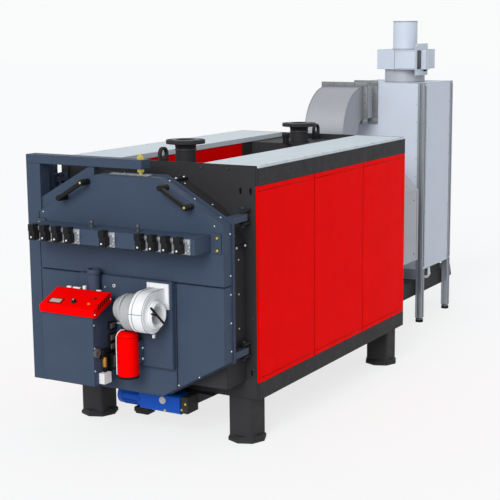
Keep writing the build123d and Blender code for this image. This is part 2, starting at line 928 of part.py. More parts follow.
# Flue hood behind the boiler with one sloping shoulder
slope = hood_top - hood_shoulder
with BuildPart() as flue_hood:
    with BuildSketch(facing(0, body_length, 0)):
        Polygon(
            (-hood_left, hood_bottom),
            (hood_right, hood_bottom),
            (hood_right, hood_shoulder),
            (hood_right - slope, hood_top),
            (-hood_left, hood_top),
            align=None,
        )
    extrude(amount=-(hood_rear - body_length))
finish(flue_hood.part, "flue_hood")

# Riser and elbow swept to the flange, then the duct that narrows to the cyclone inlet
duct_mid = (duct_left + duct_right) / 2
duct_width = duct_right - duct_left
elbow_mid = elbow_inner + duct_height / 2
elbow_floor = hood_top + riser_height
duct_z = elbow_floor + elbow_mid
with BuildPart() as flue_elbow:
    with BuildLine(sideways(duct_mid, 0, 0)) as elbow_path:
        riser = Line((elbow_centre_y - elbow_mid, hood_top), (elbow_centre_y - elbow_mid, elbow_floor))
        JernArc(riser @ 1, riser % 1, elbow_mid, -90)
    with BuildSketch(level(duct_mid, elbow_centre_y - elbow_mid, hood_top)):
        Rectangle(duct_width, duct_height)
    sweep(path=elbow_path.line)
    with BuildSketch(facing(duct_mid, elbow_centre_y + frame_sheet, duct_z)):
        Rectangle(duct_width + 2 * elbow_frame, duct_height + 2 * elbow_frame)
    extrude(amount=frame_sheet)
finish(flue_elbow.part, "flue_elbow")

inlet_mid = (inlet_left + duct_right) / 2
inlet_width = duct_right - inlet_left
with BuildPart() as inlet_duct:
    with BuildSketch(facing(duct_mid, elbow_centre_y + frame_sheet, duct_z)):
        Rectangle(duct_width, duct_height)
    with BuildSketch(facing(inlet_mid, cabinet_front_y - frame_sheet, duct_z)):
        Rectangle(inlet_width, duct_height)
    loft()
    with BuildSketch(facing(inlet_mid, cabinet_front_y, duct_z)):
        Rectangle(inlet_width + 2 * inlet_frame, duct_height + 2 * inlet_frame)
    extrude(amount=frame_sheet)
finish(inlet_duct.part, "inlet_duct")

# Cyclone cabinet: a closed panelled box between four grooved posts on levelling feet
housing_y = cabinet_front_y + housing_length / 2
with BuildPart() as cyclone_cabinet:
    with BuildSketch(level(0, housing_y, housing_bottom)):
        Rectangle(housing_width - 2 * panel_set, housing_length - 2 * panel_set)
        with GridLocations(housing_width - post_side, housing_length - post_side, 2, 2):
            Rectangle(post_side + sheet_gap, post_side + sheet_gap, mode=Mode.SUBTRACT)
    extrude(amount=housing_top - housing_bottom)
finish(cyclone_cabinet.part, "cyclone_cabinet")

post_base = level_foot_height + stem_height
post_x_half = (housing_width - post_side) / 2
post_y_half = (housing_length - post_side) / 2
with BuildPart() as cabinet_posts:
    for row in (-1, 1):
        for side in (-1, 1):
            post_spot = (side * post_x_half, housing_y + row * post_y_half)
            with BuildSketch(level(*post_spot, post_base)):
                Rectangle(post_side, post_side)
                with PolarLocations(post_side / 2, 4):
                    Rectangle(2 * groove_depth, groove_width, mode=Mode.SUBTRACT)
            extrude(amount=housing_top - post_base)
            with BuildSketch(level(*post_spot, 0)):
                Circle(level_foot_diameter / 2)
            extrude(amount=level_foot_height)
            with BuildSketch(level(*post_spot, level_foot_height)):
                Circle(stem_diameter / 2)
            extrude(amount=stem_height)
finish(cabinet_posts.part, "cabinet_posts")

with BuildPart() as cabinet_crossbar:
    with BuildSketch(level(0, cabinet_front_y + post_side / 2, housing_bottom - cross_channel)):
        Rectangle(housing_width - 2 * post_side, post_side)
    extrude(amount=cross_channel - sheet_gap)
finish(cabinet_crossbar.part, "cabinet_crossbar")

hopper_height = housing_bottom - sheet_gap - conveyor_top
with BuildPart() as ash_hopper:
    with BuildSketch(level((conveyor_left + conveyor_right) / 2, housing_y + hopper_setback, conveyor_top)):
        Rectangle(conveyor_right - conveyor_left, housing_length - 2 * hopper_margin)
    extrude(amount=hopper_height)
finish(ash_hopper.part, "ash_hopper")

# Extraction fan on the cabinet roof with its stack
with BuildPart() as fan_collar:
    with BuildSketch(level(cyclone_x, cyclone_y, housing_top)):
        Circle(collar_diameter / 2)
    extrude(amount=extract_bottom - housing_top)
finish(fan_collar.part, "fan_collar")

extract_top = extract_bottom + extract_height
with BuildPart() as extract_fan:
    with BuildSketch(level(0, 0, extract_bottom)):
        Polygon(
            (extract_right, extract_front),
            (extract_left + extract_cut, extract_front),
            (extract_left, extract_front + extract_corner),
            (extract_left, extract_rear - extract_corner),
            (extract_left + extract_corner, extract_rear),
            (extract_right, extract_rear),
            align=None,
        )
    extrude(amount=extract_height)
finish(extract_fan.part, "extract_fan")

extract_mid = extract_bottom + extract_height / 2
with BuildPart() as extract_motor:
    with BuildSketch(sideways(extract_right, mount_plate_y, extract_mid)):
        Rectangle(mount_plate, mount_plate)
    extrude(amount=mount_plate_sheet)
    with BuildSketch(sideways(extract_right + mount_plate_sheet, terminal_y, extract_mid)):
        Rectangle(terminal_length, terminal_box)
    extrude(amount=terminal_depth)
finish(extract_motor.part, "extract_motor")

with BuildPart() as stack_pipe:
    with BuildSketch(level(cyclone_x, cyclone_y, extract_top)):
        Circle(stack_diameter / 2)
        Circle(stack_diameter / 2 - stack_wall, mode=Mode.SUBTRACT)
    extrude(amount=stack_top - extract_top)
finish(stack_pipe.part, "stack_pipe")
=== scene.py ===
import bmesh
import bpy
import numpy as np
from mathutils import Matrix, Vector


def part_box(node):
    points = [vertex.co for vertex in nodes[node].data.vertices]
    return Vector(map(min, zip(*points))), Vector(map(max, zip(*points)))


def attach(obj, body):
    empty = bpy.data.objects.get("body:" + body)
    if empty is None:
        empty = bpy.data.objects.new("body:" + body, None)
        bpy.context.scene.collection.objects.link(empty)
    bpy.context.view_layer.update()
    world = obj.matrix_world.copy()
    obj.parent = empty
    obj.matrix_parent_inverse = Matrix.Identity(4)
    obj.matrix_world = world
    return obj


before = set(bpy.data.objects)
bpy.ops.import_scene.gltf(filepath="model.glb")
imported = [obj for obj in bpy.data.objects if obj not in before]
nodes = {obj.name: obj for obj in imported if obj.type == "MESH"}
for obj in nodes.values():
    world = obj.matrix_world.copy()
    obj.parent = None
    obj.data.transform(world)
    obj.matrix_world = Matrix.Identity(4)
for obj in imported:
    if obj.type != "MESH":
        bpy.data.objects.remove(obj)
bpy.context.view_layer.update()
scene = bpy.context.scene
rear_low, rear_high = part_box("rear_plate")
panel_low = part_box("side_panels_right")[0]
home = np.array([(rear_low.x + rear_high.x) / 2, panel_low.y, 0.0])


def at(x, y, z):
    """A place given in mm from the boiler's centreline, its front plate and the floor, in metres."""
    return home + np.array([x, y, z]) / 1000


print("nodes", len(nodes), "origin of the boiler", np.round(home, 4))

# %% [markdown]
# The camera stands to the right of the door, a little above the boiler's top, with a long lens.
# It could be aimed with a Track To constraint, but its turn was solved from the straight edges of the body,
# so the three angles are written down and its axes follow from them.
# %% Camera
yaw, pitch, roll = np.radians([29.25, 9.808, -0.346])
forward = Vector((-np.sin(yaw) * np.cos(pitch), np.cos(yaw) * np.cos(pitch), -np.sin(pitch)))
level_right = Vector((np.cos(yaw), np.sin(yaw), 0))
level_up = level_right.cross(forward)
right = level_right * np.cos(roll) + level_up * np.sin(roll)
up = level_up * np.cos(roll) - level_right * np.sin(roll)
image_side = 500
focal_pixels = 1229.313
centre_x, centre_y = 274.302, 240.578
lens = bpy.data.cameras.new("camera")
lens.sensor_width = 36
lens.sensor_fit = "HORIZONTAL"
lens.lens = focal_pixels / image_side * lens.sensor_width
lens.shift_x = (image_side / 2 - centre_x) / image_side
lens.shift_y = (centre_y - image_side / 2) / image_side
camera = bpy.data.objects.new("camera", lens)
scene.collection.objects.link(camera)
stand = Matrix((right, up, -forward)).transposed().to_4x4()
stand.translation = Vector(at(3800.86, -5494.22, 2218.18))
camera.matrix_world = stand
scene.camera = camera
print("lens", round(lens.lens, 2), "mm")

# %% [markdown]
# Light and paint are trees of nodes. They could be built by hand in the editor, but a helper that makes a
# node, sets its options and fills its inputs keeps a whole tree in a few lines.
# %% Nodes and their inputs
def fill(tree, node, inputs):
    """Give a node its inputs: each is a value, or the output of another node, which is linked."""
    for name, value in inputs.items():
        if isinstance(value, bpy.types.NodeSocket):
            tree.links.new(value, node.inputs[name])
        else:
            node.inputs[name].default_value = value


def new_node(tree, kind, output, inputs, **options):
    """Make a node of a kind with its options and inputs, and answer with one of its outputs."""
    node = tree.nodes.new("ShaderNode" + kind)
    for name, value in options.items():
        setattr(node, name, value)
    fill(tree, node, inputs)
    return node.outputs[output]


world = bpy.data.worlds.new("studio")
scene.world = world
world.use_nodes = True
sky = world.node_tree
print("the world starts with", [node.name for node in sky.nodes])

# %% [markdown]
# A studio picture has a pale floor and a white background. More light would wash out the pale covers,
# so the white comes from Light Path: rays that come straight from the camera, and the ones that a
# mirror or a glass sends on, see white, and every other ray sees the plain grey of the studio.
# %% World
studio_grey, studio_white = (0.50, 0.51, 0.55, 1), (0.953, 0.965, 0.960, 1)


def seen_directly(tree):
    """The largest of three Light Path outputs: 1 where the background is looked at, 0 where it lights."""
    rays = tree.nodes.new("ShaderNodeLightPath").outputs
    answer = rays["Is Camera Ray"]
    for name in ("Is Glossy Ray", "Is Transmission Ray"):
        answer = new_node(tree, "Math", "Value", {0: answer, 1: rays[name]}, operation="MAXIMUM")
    return answer


tint = new_node(sky, "Mix", "Result", {"Factor": seen_directly(sky), "A": studio_grey, "B": studio_white},
                data_type="RGBA")
fill(sky, sky.nodes["Background"], {"Color": tint})
print("the world lights with", studio_grey[:3])

# %% [markdown]
# One wide sun from the front gives soft shadows. Several area lamps could do the same, but a sun lights
# the far cabinet as well as the near door. The floor is matt paper that keeps the shadow of the boiler
# and glows only where it is looked at, so that it joins the white background.
# %% Sun and floor
lamp = bpy.data.lights.new("key", "SUN")
lamp.energy = 2.05
lamp.angle = np.radians(35)
key = bpy.data.objects.new("key", lamp)
scene.collection.objects.link(key)
key.matrix_world = Vector((0.17, -0.86, 0.46)).to_track_quat("Z", "Y").to_matrix().to_4x4()

floor_reach = 60.0
floor_glow = 0.72
floor_mesh = bpy.data.meshes.new("floor")
corners = np.array([[-1, -1], [1, -1], [1, 1], [-1, 1]]) * floor_reach
floor_mesh.from_pydata([(x, y, 0) for x, y in corners], [], [(0, 1, 2, 3)])
floor = bpy.data.objects.new("floor", floor_mesh)
scene.collection.objects.link(floor)
paper = bpy.data.materials.new("studio_floor")
paper.use_nodes = True
sheet = paper.node_tree
matt = sheet.nodes["Principled BSDF"]
fill(sheet, matt, {"Base Color": (0.86, 0.87, 0.87, 1), "Roughness": 1.0, "Specular IOR Level": 0.0})
glow = new_node(sheet, "Emission", "Emission", {"Color": (1, 1, 1, 1), "Strength": 1.05})
share = new_node(sheet, "Math", "Value", {0: seen_directly(sheet), 1: floor_glow}, operation="MULTIPLY")
blend = new_node(sheet, "MixShader", "Shader", {0: share, 1: matt.outputs[0], 2: glow})
fill(sheet, sheet.nodes["Material Output"], {"Surface": blend})
floor_mesh.materials.append(paper)
scene.view_settings.view_transform = "Standard"
print("floor and sun are in place")

# %% [markdown]
# A powder coat is never one flat colour: it is a little mottled, its gloss wanders and it has a fine orange
# peel. Its edges are painted darker, which is painted shade along the edges. A picture could show that, but
# nodes do it at every scale, so one function builds the tree and each finish is a short call.
# %% The parts of a finish
def srgb(red, green, blue):
    """An 8-bit colour as the linear numbers that Blender wants."""
    share = np.array([red, green, blue]) / 255
    linear = np.where(share < 0.04045, share / 12.92, ((share + 0.055) / 1.055) ** 2.4)
    return (*linear.tolist(), 1.0)


def shaded(colour, factor):
    """A colour made darker or lighter by one factor."""
    return tuple(min(1.0, c * factor) for c in colour[:3]) + (1.0,)


def noise(tree, scale, detail, stretch=(1, 1, 1)):
    """Noise over Object coordinates, stretched along an axis where the finish has a direction."""
    place = tree.nodes.new("ShaderNodeTexCoord").outputs["Object"]
    stretched = new_node(tree, "Mapping", "Vector", {"Vector": place, "Scale": stretch})
    return new_node(tree, "TexNoise", "Fac", {"Vector": stretched, "Scale": scale, "Detail": detail})


def ranged(tree, value, low, high, start=0.3, end=0.7):
    """A value between start and end carried over to low and high."""
    ends = {"From Min": start, "From Max": end, "To Min": low, "To Max": high}
    return new_node(tree, "MapRange", "Result", {"Value": value, **ends})


def mixed(tree, factor, first, second):
    """A blend of two colours, each a link or four numbers."""
    return new_node(tree, "Mix", "Result", {"Factor": factor, "A": first, "B": second}, data_type="RGBA")


def edges(tree, radius):
    """The rounded normal, and a mask that is 1 along edges: how far the rounded normal leaves the flat."""
    rounded = new_node(tree, "Bevel", "Normal", {"Radius": radius}, samples=4)
    flat = tree.nodes.new("ShaderNodeNewGeometry").outputs["True Normal"]
    dot = new_node(tree, "VectorMath", "Value", {0: rounded, 1: flat}, operation="DOT_PRODUCT")
    return rounded, ranged(tree, dot, 0, 1, 0.985, 0.86)


# The dark edge printed here is painted shade along the edges of navy.
print("a dark edge of navy would be", [round(c, 3) for c in shaded(srgb(61, 74, 93), 0.3)])


# %% The tree of a finish
def finish(name, colour, gloss=(0.4, 0.5), metal=0.0, mottle=0.06, cloud=5, grain=900, bump=0.02,
           stretch=(1, 1, 1), edge=0.006, painted_edge_shading=0.5, mirror=0.15):
    """A finish: mottled colour, wandering roughness, fine grain in the normal, and edges painted darker as
    shade (lighter, as a painted highlight, where the edge factor is above 1).
    """
    colour = srgb(*colour)
    material = bpy.data.materials.new(name)
    material.use_nodes = True
    tree = material.node_tree
    patch = ranged(tree, noise(tree, cloud, 4), 0, 1)
    body = mixed(tree, patch, shaded(colour, 1 - mottle), shaded(colour, 1 + mottle))
    normal, rim = edges(tree, edge)
    # Along the edges the colour is mixed towards a darker one, which is painted shade, and noise breaks that
    # band up; an edge factor above 1 paints a lighter band instead, a painted highlight.
    edge_shading_breakup = ranged(tree, noise(tree, 14, 2), 0.4, 1.0)
    strength = new_node(tree, "Math", "Value", {0: rim, 1: edge_shading_breakup}, operation="MULTIPLY")
    colour_with_edge_shading = mixed(tree, strength, body, shaded(colour, painted_edge_shading))
    roughness = ranged(tree, noise(tree, cloud * 3, 3, stretch), *gloss)
    height = noise(tree, grain, 2, stretch)
    peel = new_node(tree, "Bump", "Normal", {"Strength": bump, "Distance": 0.001, "Height": height,
                                             "Normal": normal})
    fill(tree, tree.nodes["Principled BSDF"], {"Base Color": colour_with_edge_shading, "Roughness": roughness, "Normal": peel,
                                               "Metallic": metal, "Specular IOR Level": mirror})
    return material


navy_paint = finish("navy_paint", (61, 74, 93), gloss=(0.45, 0.6), mottle=0.05, bump=0.1, painted_edge_shading=0.3)
print("navy_paint is a tree of", len(navy_paint.node_tree.nodes), "nodes")

# %% [markdown]
# The sheets of the boiler are powder coated in navy, black and red, and the flue is bare or pale sheet.
# A colour could be picked from a picture, but the light is already mixed into it there, so each one is
# set beside the render until they agree. A paint has a low mirror so that it doesn't turn pale in
# the white room. Bare sheet is brushed, so its gloss is stretched along one axis.
# %% Paints and sheet metal
black_paint = finish("black_paint", (53, 53, 54), gloss=(0.5, 0.65), bump=0.12, painted_edge_shading=0.25,
                     mirror=0.1)
red_paint = finish("red_paint", (250, 0, 0), gloss=(0.42, 0.55), mottle=0.02, bump=0.05, painted_edge_shading=0.3,
                   mirror=0.02)
# Dark red is the bezel's own colour, and painted shade where it lines the folds of the casing.
dark_red_paint_and_fold_shade = finish("dark_red_paint_and_fold_shade", (140, 2, 2), mottle=0.05, bump=0.06, mirror=0.04)
cover_coat = finish("cover_coat", (212, 223, 228), gloss=(0.4, 0.52), mottle=0.02, bump=0.04,
                    painted_edge_shading=0.45)
hood_sheet = finish("hood_sheet", (176, 179, 184), gloss=(0.34, 0.48), metal=0.15, mottle=0.04,
                    bump=0.05, stretch=(1, 1, 8), painted_edge_shading=0.45)
elbow_sheet = finish("elbow_sheet", (162, 164, 169), gloss=(0.4, 0.46), metal=0.6, mottle=0.03,
                     bump=0.04, stretch=(1, 1, 8), painted_edge_shading=0.45, mirror=0.5)
cabinet_sheet = finish("cabinet_sheet", (203, 211, 222), gloss=(0.34, 0.46), metal=0.05, mottle=0.02,
                       bump=0.04, stretch=(1, 1, 8))
post_metal = finish("post_metal", (158, 163, 170), gloss=(0.28, 0.4), metal=0.4, mottle=0.04,
                    bump=0.04, stretch=(1, 1, 20), painted_edge_shading=0.4)
# Dark steel is the colour of screws, bolts and seams, and it also serves as painted shade on the extract fan.
dark_steel_and_fold_shade = finish("dark_steel_and_fold_shade", (82, 85, 90), gloss=(0.34, 0.48), metal=0.4, mottle=0.08, bump=0.1)
# Frame steel colours the duct frames, and as darker strips on the posts it is painted shade of their grooves.
frame_steel_and_groove_shade = finish("frame_steel_and_groove_shade", (130, 132, 134), gloss=(0.36, 0.48), metal=0.2, bump=0.06,
                     edge=0.0015)
# A near-black paint for clamps, seams, the motor grille and sockets, also used as painted shade in the gap
# beside the door.
dark_paint_and_gap_shade = finish("dark_paint_and_gap_shade", (26, 30, 36), gloss=(0.55, 0.7), mottle=0.1, bump=0.05)
motor_blue = finish("motor_blue", (0, 76, 176), gloss=(0.3, 0.4), mottle=0.05, bump=0.06,
                    painted_edge_shading=0.4, mirror=0.2)
print("paints and sheets", len(bpy.data.materials) - 1)

# %% [markdown]
# Castings are rough from the mould, so their grain is coarser and stronger than that of sheet. Zinc and
# brass could be full metals, but a full metal mirrors the white room, so they are part metal and keep
# their tone. Small parts get a narrow band of painted edge shade, because the 6 mm band of the sheets would
# cover them.
# %% Castings, zinc, plastics and rubber
bright_zinc = finish("bright_zinc", (226, 228, 229), gloss=(0.3, 0.42), metal=0.35, mottle=0.04,
                     bump=0.04, edge=0.001, painted_edge_shading=0.7)
yellow_zinc = finish("yellow_zinc", (206, 190, 96), gloss=(0.3, 0.42), metal=0.4, mottle=0.08,
                     bump=0.05, edge=0.001)
brass = finish("brass", (184, 136, 62), gloss=(0.25, 0.35), metal=0.7, mottle=0.05, edge=0.001)
cast_white = finish("cast_white", (236, 237, 237), gloss=(0.42, 0.55), mottle=0.03, cloud=18,
                    grain=420, bump=0.2, edge=0.002)
cast_grey = finish("cast_grey", (184, 186, 186), gloss=(0.42, 0.55), metal=0.05, cloud=18,
                   grain=420, bump=0.25, edge=0.002)
# Black plastic has its edges painted lighter by the factor 4.5: a painted highlight along its edges.
black_plastic = finish("black_plastic", (24, 24, 25), gloss=(0.38, 0.5), mottle=0.08, grain=1500,
                       bump=0.12, edge=0.002, painted_edge_shading=4.5)
grey_plastic = finish("grey_plastic", (92, 92, 88), gloss=(0.45, 0.55), grain=1500, bump=0.1, edge=0.001)
white_plastic = finish("white_plastic", (232, 233, 233), mottle=0.02, grain=1500, bump=0.05,
                       edge=0.001, painted_edge_shading=0.7)
green_plastic = finish("green_plastic", (150, 184, 168), mottle=0.05, edge=0.001)
amber_lens = finish("amber_lens", (232, 128, 30), gloss=(0.12, 0.2), mottle=0.03, edge=0.001)
display_glass = finish("display_glass", (184, 177, 158), gloss=(0.15, 0.22), mottle=0.03, edge=0.001)
rubber = finish("rubber", (18, 18, 18), gloss=(0.6, 0.75), mottle=0.1, grain=1200, bump=0.2, edge=0.001)
print("finishes", len(bpy.data.materials) - 1)


# %% [markdown]
# A CAD node arrives as loose triangles, so Blender can't tell a rounded face from a sharp edge.
# Merging the points would change its mesh. Instead the shading normal of each corner is set: it is
# the mean of the faces that meet at that place and turn by less than a limit, weighted by area.
# %% Shading normals for the CAD nodes
def soften(mesh, limit=28):
    """Corner normal = sum of area * face normal over the faces at the same place within the limit."""
    corners = len(mesh.loops)
    vertex = np.zeros(corners, int)
    mesh.loops.foreach_get("vertex_index", vertex)
    place = np.zeros(len(mesh.vertices) * 3)
    mesh.vertices.foreach_get("co", place)
    place = np.round(place.reshape(-1, 3) * 1e5).astype(np.int64)
    group = np.unique(place, axis=0, return_inverse=True)[1].ravel()[vertex]
    normal = np.zeros(len(mesh.polygons) * 3)
    mesh.polygons.foreach_get("normal", normal)
    normal = np.repeat(normal.reshape(-1, 3), 3, axis=0)
    area = np.zeros(len(mesh.polygons))
    mesh.polygons.foreach_get("area", area)
    area = np.repeat(area, 3)
    order = np.argsort(group, kind="stable")
    count = np.bincount(group)
    start = np.cumsum(count) - count
    own = np.repeat(np.arange(corners), count[group])
    step = np.arange(len(own)) - np.repeat(np.cumsum(count[group]) - count[group], count[group])
    other = order[start[group[own]] + step]
    near = (normal[own] * normal[other]).sum(1) > np.cos(np.radians(limit))
    weighted = (area[:, None] * normal)[other[near]]
    total = np.stack([np.bincount(own[near], weighted[:, k], corners) for k in range(3)], 1)
    total /= np.maximum(np.linalg.norm(total, axis=1, keepdims=True), 1e-12)
    mesh.normals_split_custom_set(total.tolist())


def dress(material, *names):
    """Give CAD nodes their finish in the slots they came with."""
    for name in names:
        mesh = nodes[name].data
        if len(mesh.materials) == 0:
            mesh.materials.append(material)
        for index in range(len(mesh.materials)):
            mesh.materials[index] = material
        soften(mesh)
    print(material.name, "on", len(names), "nodes")


print("the legs alone have", len(nodes["legs"].data.polygons), "loose triangles")

# %% [markdown]
# A part comes from the paint shop in one colour, so a node gets one finish in all its slots. Its faces
# could be painted one by one, but the CAD part is split along its colours, so that isn't needed.
# %% Dress the CAD nodes
dress(black_paint, "boiler_body", "front_plate", "rear_plate", "rails_right", "rails_left", "legs",
      "turning_box", "flow_nozzle", "return_nozzle", "lifting_eyes", "lock_pins", "ash_trough",
      "ash_conveyor", "ash_hopper")
dress(red_paint, "side_panels_right", "side_panels_left", "channel_walls", "control_console",
      "quench_vessel")
dress(cover_coat, "top_covers")
dress(navy_paint, "door_frame", "door_upper_cover", "door_lower_covers", "davit_post", "davit_arm",
      "lock_forks", "hinge_lugs", "vessel_bracket", "air_manifold", "burner_plate", "burner_cabinet",
      "pellet_inlet")
dress(hood_sheet, "flue_hood", "inlet_duct", "fan_collar")
dress(elbow_sheet, "flue_elbow")
dress(cabinet_sheet, "cyclone_cabinet", "extract_fan", "extract_motor", "stack_pipe")
dress(post_metal, "cabinet_posts", "cabinet_crossbar")
dress(yellow_zinc, "suspension_bolt")
dress(cast_white, "blower_housing")
dress(cast_grey, "blower_motor")
dress(black_plastic, "solenoid_valves", "door_handles", "side_sockets", "quench_valve")
dress(motor_blue, "ash_gearmotor")
dress(white_plastic, "junction_box")

# %% [markdown]
# The small pieces are surfaces from formulas: a turned part, a rounded box, a prism and a bar along a line
# cover nearly everything on a machine of sheet metal. Primitives with modifiers would also do, but a
# formula keeps each size in one place and makes the whole surface as one array.
# All sizes are in mm from the boiler's centreline, its front plate and the floor.
# %% Directions and grids
AXES = {"x": (1, 2, 0), "y": (0, 2, 1), "z": (0, 1, 2)}
LEFT, RIGHT, FRONT, BACK, UP, DOWN = (-1, 0, 0), (1, 0, 0), (0, -1, 0), (0, 1, 0), (0, 0, 1), (0, 0, -1)
MIRROR = np.array([-1, 1, 1])


def basis(axis):
    """Rows u, v, w: w is the axis (a letter or a direction), u and v are square to it."""
    if isinstance(axis, str):
        return np.eye(3)[list(AXES[axis])]
    w = np.array(axis, float) / np.linalg.norm(axis)
    u = np.cross((0, 1, 0) if abs(w[1]) < 0.9 else (1, 0, 0), w)
    u /= np.linalg.norm(u)
    return np.array([u, np.cross(w, u), w])


def grid_faces(rows, columns):
    """Quads between neighbouring rows and columns, where the last column joins the first."""
    row, column = np.meshgrid(np.arange(rows - 1), np.arange(columns), indexing="ij")
    after = (column + 1) % columns
    corners = [row * columns + column, row * columns + after,
               (row + 1) * columns + after, (row + 1) * columns + column]
    return np.stack(corners, -1).reshape(-1, 4)


print("a ring of 24 sides and 5 rows has", len(grid_faces(5, 24)), "faces")


# %% Turned parts and their profiles
def turned(profile, centre, axis="z", sides=24):
    """Surface of revolution: centre + along * w + radius * (cos t * u + sin t * v)."""
    u, v, w = basis(axis)
    radius, along = np.array(profile, float).T[:, :, None]
    t = np.linspace(0, 2 * np.pi, sides, endpoint=False)
    circle = np.cos(t)[:, None] * u + np.sin(t)[:, None] * v
    points = centre + along[..., None] * w + radius[..., None] * circle[None]
    return points.reshape(-1, 3), [grid_faces(len(profile), sides)]


def ring(inner, outer, low, high):
    """The closed profile of a plain ring: out along its foot, up, back in and down to its start."""
    return [(inner, low), (outer, low), (outer, high), (inner, high), (inner, low)]


def disc(radius, low, high):
    """The profile of a plain round plate: out along its foot, up its edge and in to the axis."""
    return [(0, low), (radius, low), (radius, high), (0, high)]


def studs(places, axis, radius=6.0, height=4.0, sides=12, hexagon=False):
    """The same small head at many places: one turned profile, added to every place."""
    dome = [(0, height), (0.55 * radius, 0.92 * height), (0.9 * radius, 0.55 * height), (radius, 0),
            (radius, -1), (0, -1)]
    nut = [(0, height), (0.8 * radius, height), (radius, 0.75 * height), (radius, 0), (1.35 * radius, 0),
           (1.35 * radius, -1), (0, -1)]
    points, faces = turned(nut if hexagon else dome, np.zeros(3), axis, 6 if hexagon else sides)
    places = np.array(places, float).reshape(-1, 3)
    shifts = (np.arange(len(places)) * len(points))[:, None, None]
    return (places[:, None] + points[None]).reshape(-1, 3), [(shifts + faces[0][None]).reshape(-1, 4)]


print("a washer takes", len(turned(ring(4, 8, 0, 1.5), np.zeros(3))[0]), "points")


# %% Boxes, plates and bars
def block(low, high, edge=2.0, steps=2):
    """Rounded box: a corner of the inner box plus edge * (sin a cos b, sin a sin b, cos a), by quarters."""
    low, high = np.minimum(low, high).astype(float), np.maximum(low, high).astype(float)
    edge = min(edge, (high - low).min() / 2.001)
    quarter = np.linspace(0, np.pi / 2, steps + 1)
    a = np.concatenate([quarter, quarter + np.pi / 2])[:, None]
    b = (quarter[None] + np.arange(4)[:, None] * np.pi / 2).ravel()[None]
    sign_x = np.repeat([1, -1, -1, 1], steps + 1)[None] + 0 * a
    sign_y = np.repeat([1, 1, -1, -1], steps + 1)[None] + 0 * a
    sign_z = np.repeat([1, -1], steps + 1)[:, None] + 0 * b
    round_off = np.stack([np.sin(a) * np.cos(b), np.sin(a) * np.sin(b), np.cos(a) + 0 * b], -1)
    inner = np.stack([sign_x, sign_y, sign_z], -1) * ((high - low) / 2 - edge)
    points = (low + high) / 2 + inner + edge * round_off
    rows, columns = round_off.shape[:2]
    lid = np.arange(4) * (steps + 1)
    return points.reshape(-1, 3), [grid_faces(rows, columns), lid[None], lid[None] + (rows - 1) * columns]


def prism(outline, start, axis, depth, edge=0.0):
    """An outline square to the axis, carried along it; edge > 0 draws both ends in by a bevel."""
    u, v, w = basis(axis)
    outline = np.array(outline, float)
    middle = outline.mean(0)
    drawn = middle + (outline - middle) * (1 - edge / np.abs(outline - middle).max())
    stack = [(drawn, 0.0), (outline, edge), (outline, depth - edge), (drawn, depth)]
    points = np.concatenate([ends @ np.array([u, v]) + (start + along) * w for ends, along in stack])
    count = len(outline)
    lid = np.arange(count)[None]
    return points, [grid_faces(len(stack), count), lid, lid + (len(stack) - 1) * count]


def tube(path, radius, side, sides=10):
    """A bar along a path: path + radius * (cos t * u + sin t * v), u square to the path on the given side."""
    path = np.array(path, float)
    along = np.gradient(path, axis=0)
    along /= np.linalg.norm(along, axis=1, keepdims=True)
    u = side - (along @ np.array(side, float))[:, None] * along
    u /= np.linalg.norm(u, axis=1, keepdims=True)
    v = np.cross(along, u)
    t = np.linspace(0, 2 * np.pi, sides, endpoint=False)[None, :, None]
    points = path[:, None] + radius * (np.cos(t) * u[:, None] + np.sin(t) * v[:, None])
    lid = np.arange(sides)[None]
    return points.reshape(-1, 3), [grid_faces(len(path), sides), lid, lid + (len(path) - 1) * sides]


print("a rounded box takes", len(block((0, 0, 0), (30, 20, 10))[0]), "points")


# %% Copies of a part
def flipped(places):
    """The same places, or the same direction, on the other side of the centreline: x changes its sign."""
    return np.array(places, float) * MIRROR


def mirrored(part):
    """A part on the other side of the centreline."""
    points, groups = part
    return points * MIRROR, groups


def both_sides(places, direction, *size, **kind):
    """Studs at places and at their mirror images, each looking out along its own direction."""
    return [studs(spots, out, *size, **kind)
            for spots, out in ((places, direction), (flipped(places), flipped(direction)))]


def rows_on(y, *rows):
    """Places on an upright face at y: in every row, each x with each z."""
    return [(x, y, z) for xs, zs in rows for x in xs for z in zs]


def each(part, xs):
    """One part repeated at every x: the points of each copy are the same points moved along x."""
    points, groups = part
    moves = np.zeros((len(xs), 1, 3))
    moves[:, 0, 0] = xs
    starts = (np.arange(len(xs)) * len(points))[:, None, None]
    copies = [(group[None] + starts).reshape(-1, group.shape[1]) for group in groups]
    return (points[None] + moves).reshape(-1, 3), copies


print("three rounded boxes take", len(each(block((0, 0, 0), (30, 20, 10)), (0, 40, 80))[0]), "points")

# %% [markdown]
# A set of screws could be an object for each screw, but one mesh per set keeps the list of pieces short.
# A piece rides on the body that carries it.
# %% One piece from its parts
SHARP_TURN = np.radians(35)


def make(name, material, parts, body="door"):
    """One piece of several surfaces in mm: doubles merged, faces turned outward, riding on its body."""
    points = np.concatenate([points for points, _ in parts]) / 1000 + home
    starts = np.cumsum([0] + [len(points) for points, _ in parts])
    faces = [row for (_, groups), start in zip(parts, starts) for group in groups
             for row in (group + start).tolist()]
    mesh = bpy.data.meshes.new(name)
    mesh.from_pydata(points.tolist(), [], faces)
    work = bmesh.new()
    work.from_mesh(mesh)
    bmesh.ops.remove_doubles(work, verts=work.verts, dist=1e-6)
    bmesh.ops.recalc_face_normals(work, faces=work.faces)
    work.to_mesh(mesh)
    work.free()
    mesh.shade_smooth()
    mesh.set_sharp_from_angle(angle=SHARP_TURN)
    mesh.materials.append(material)
    piece = bpy.data.objects.new(name, mesh)
    scene.collection.objects.link(piece)
    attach(piece, body)
    print(name, "faces", len(mesh.polygons))


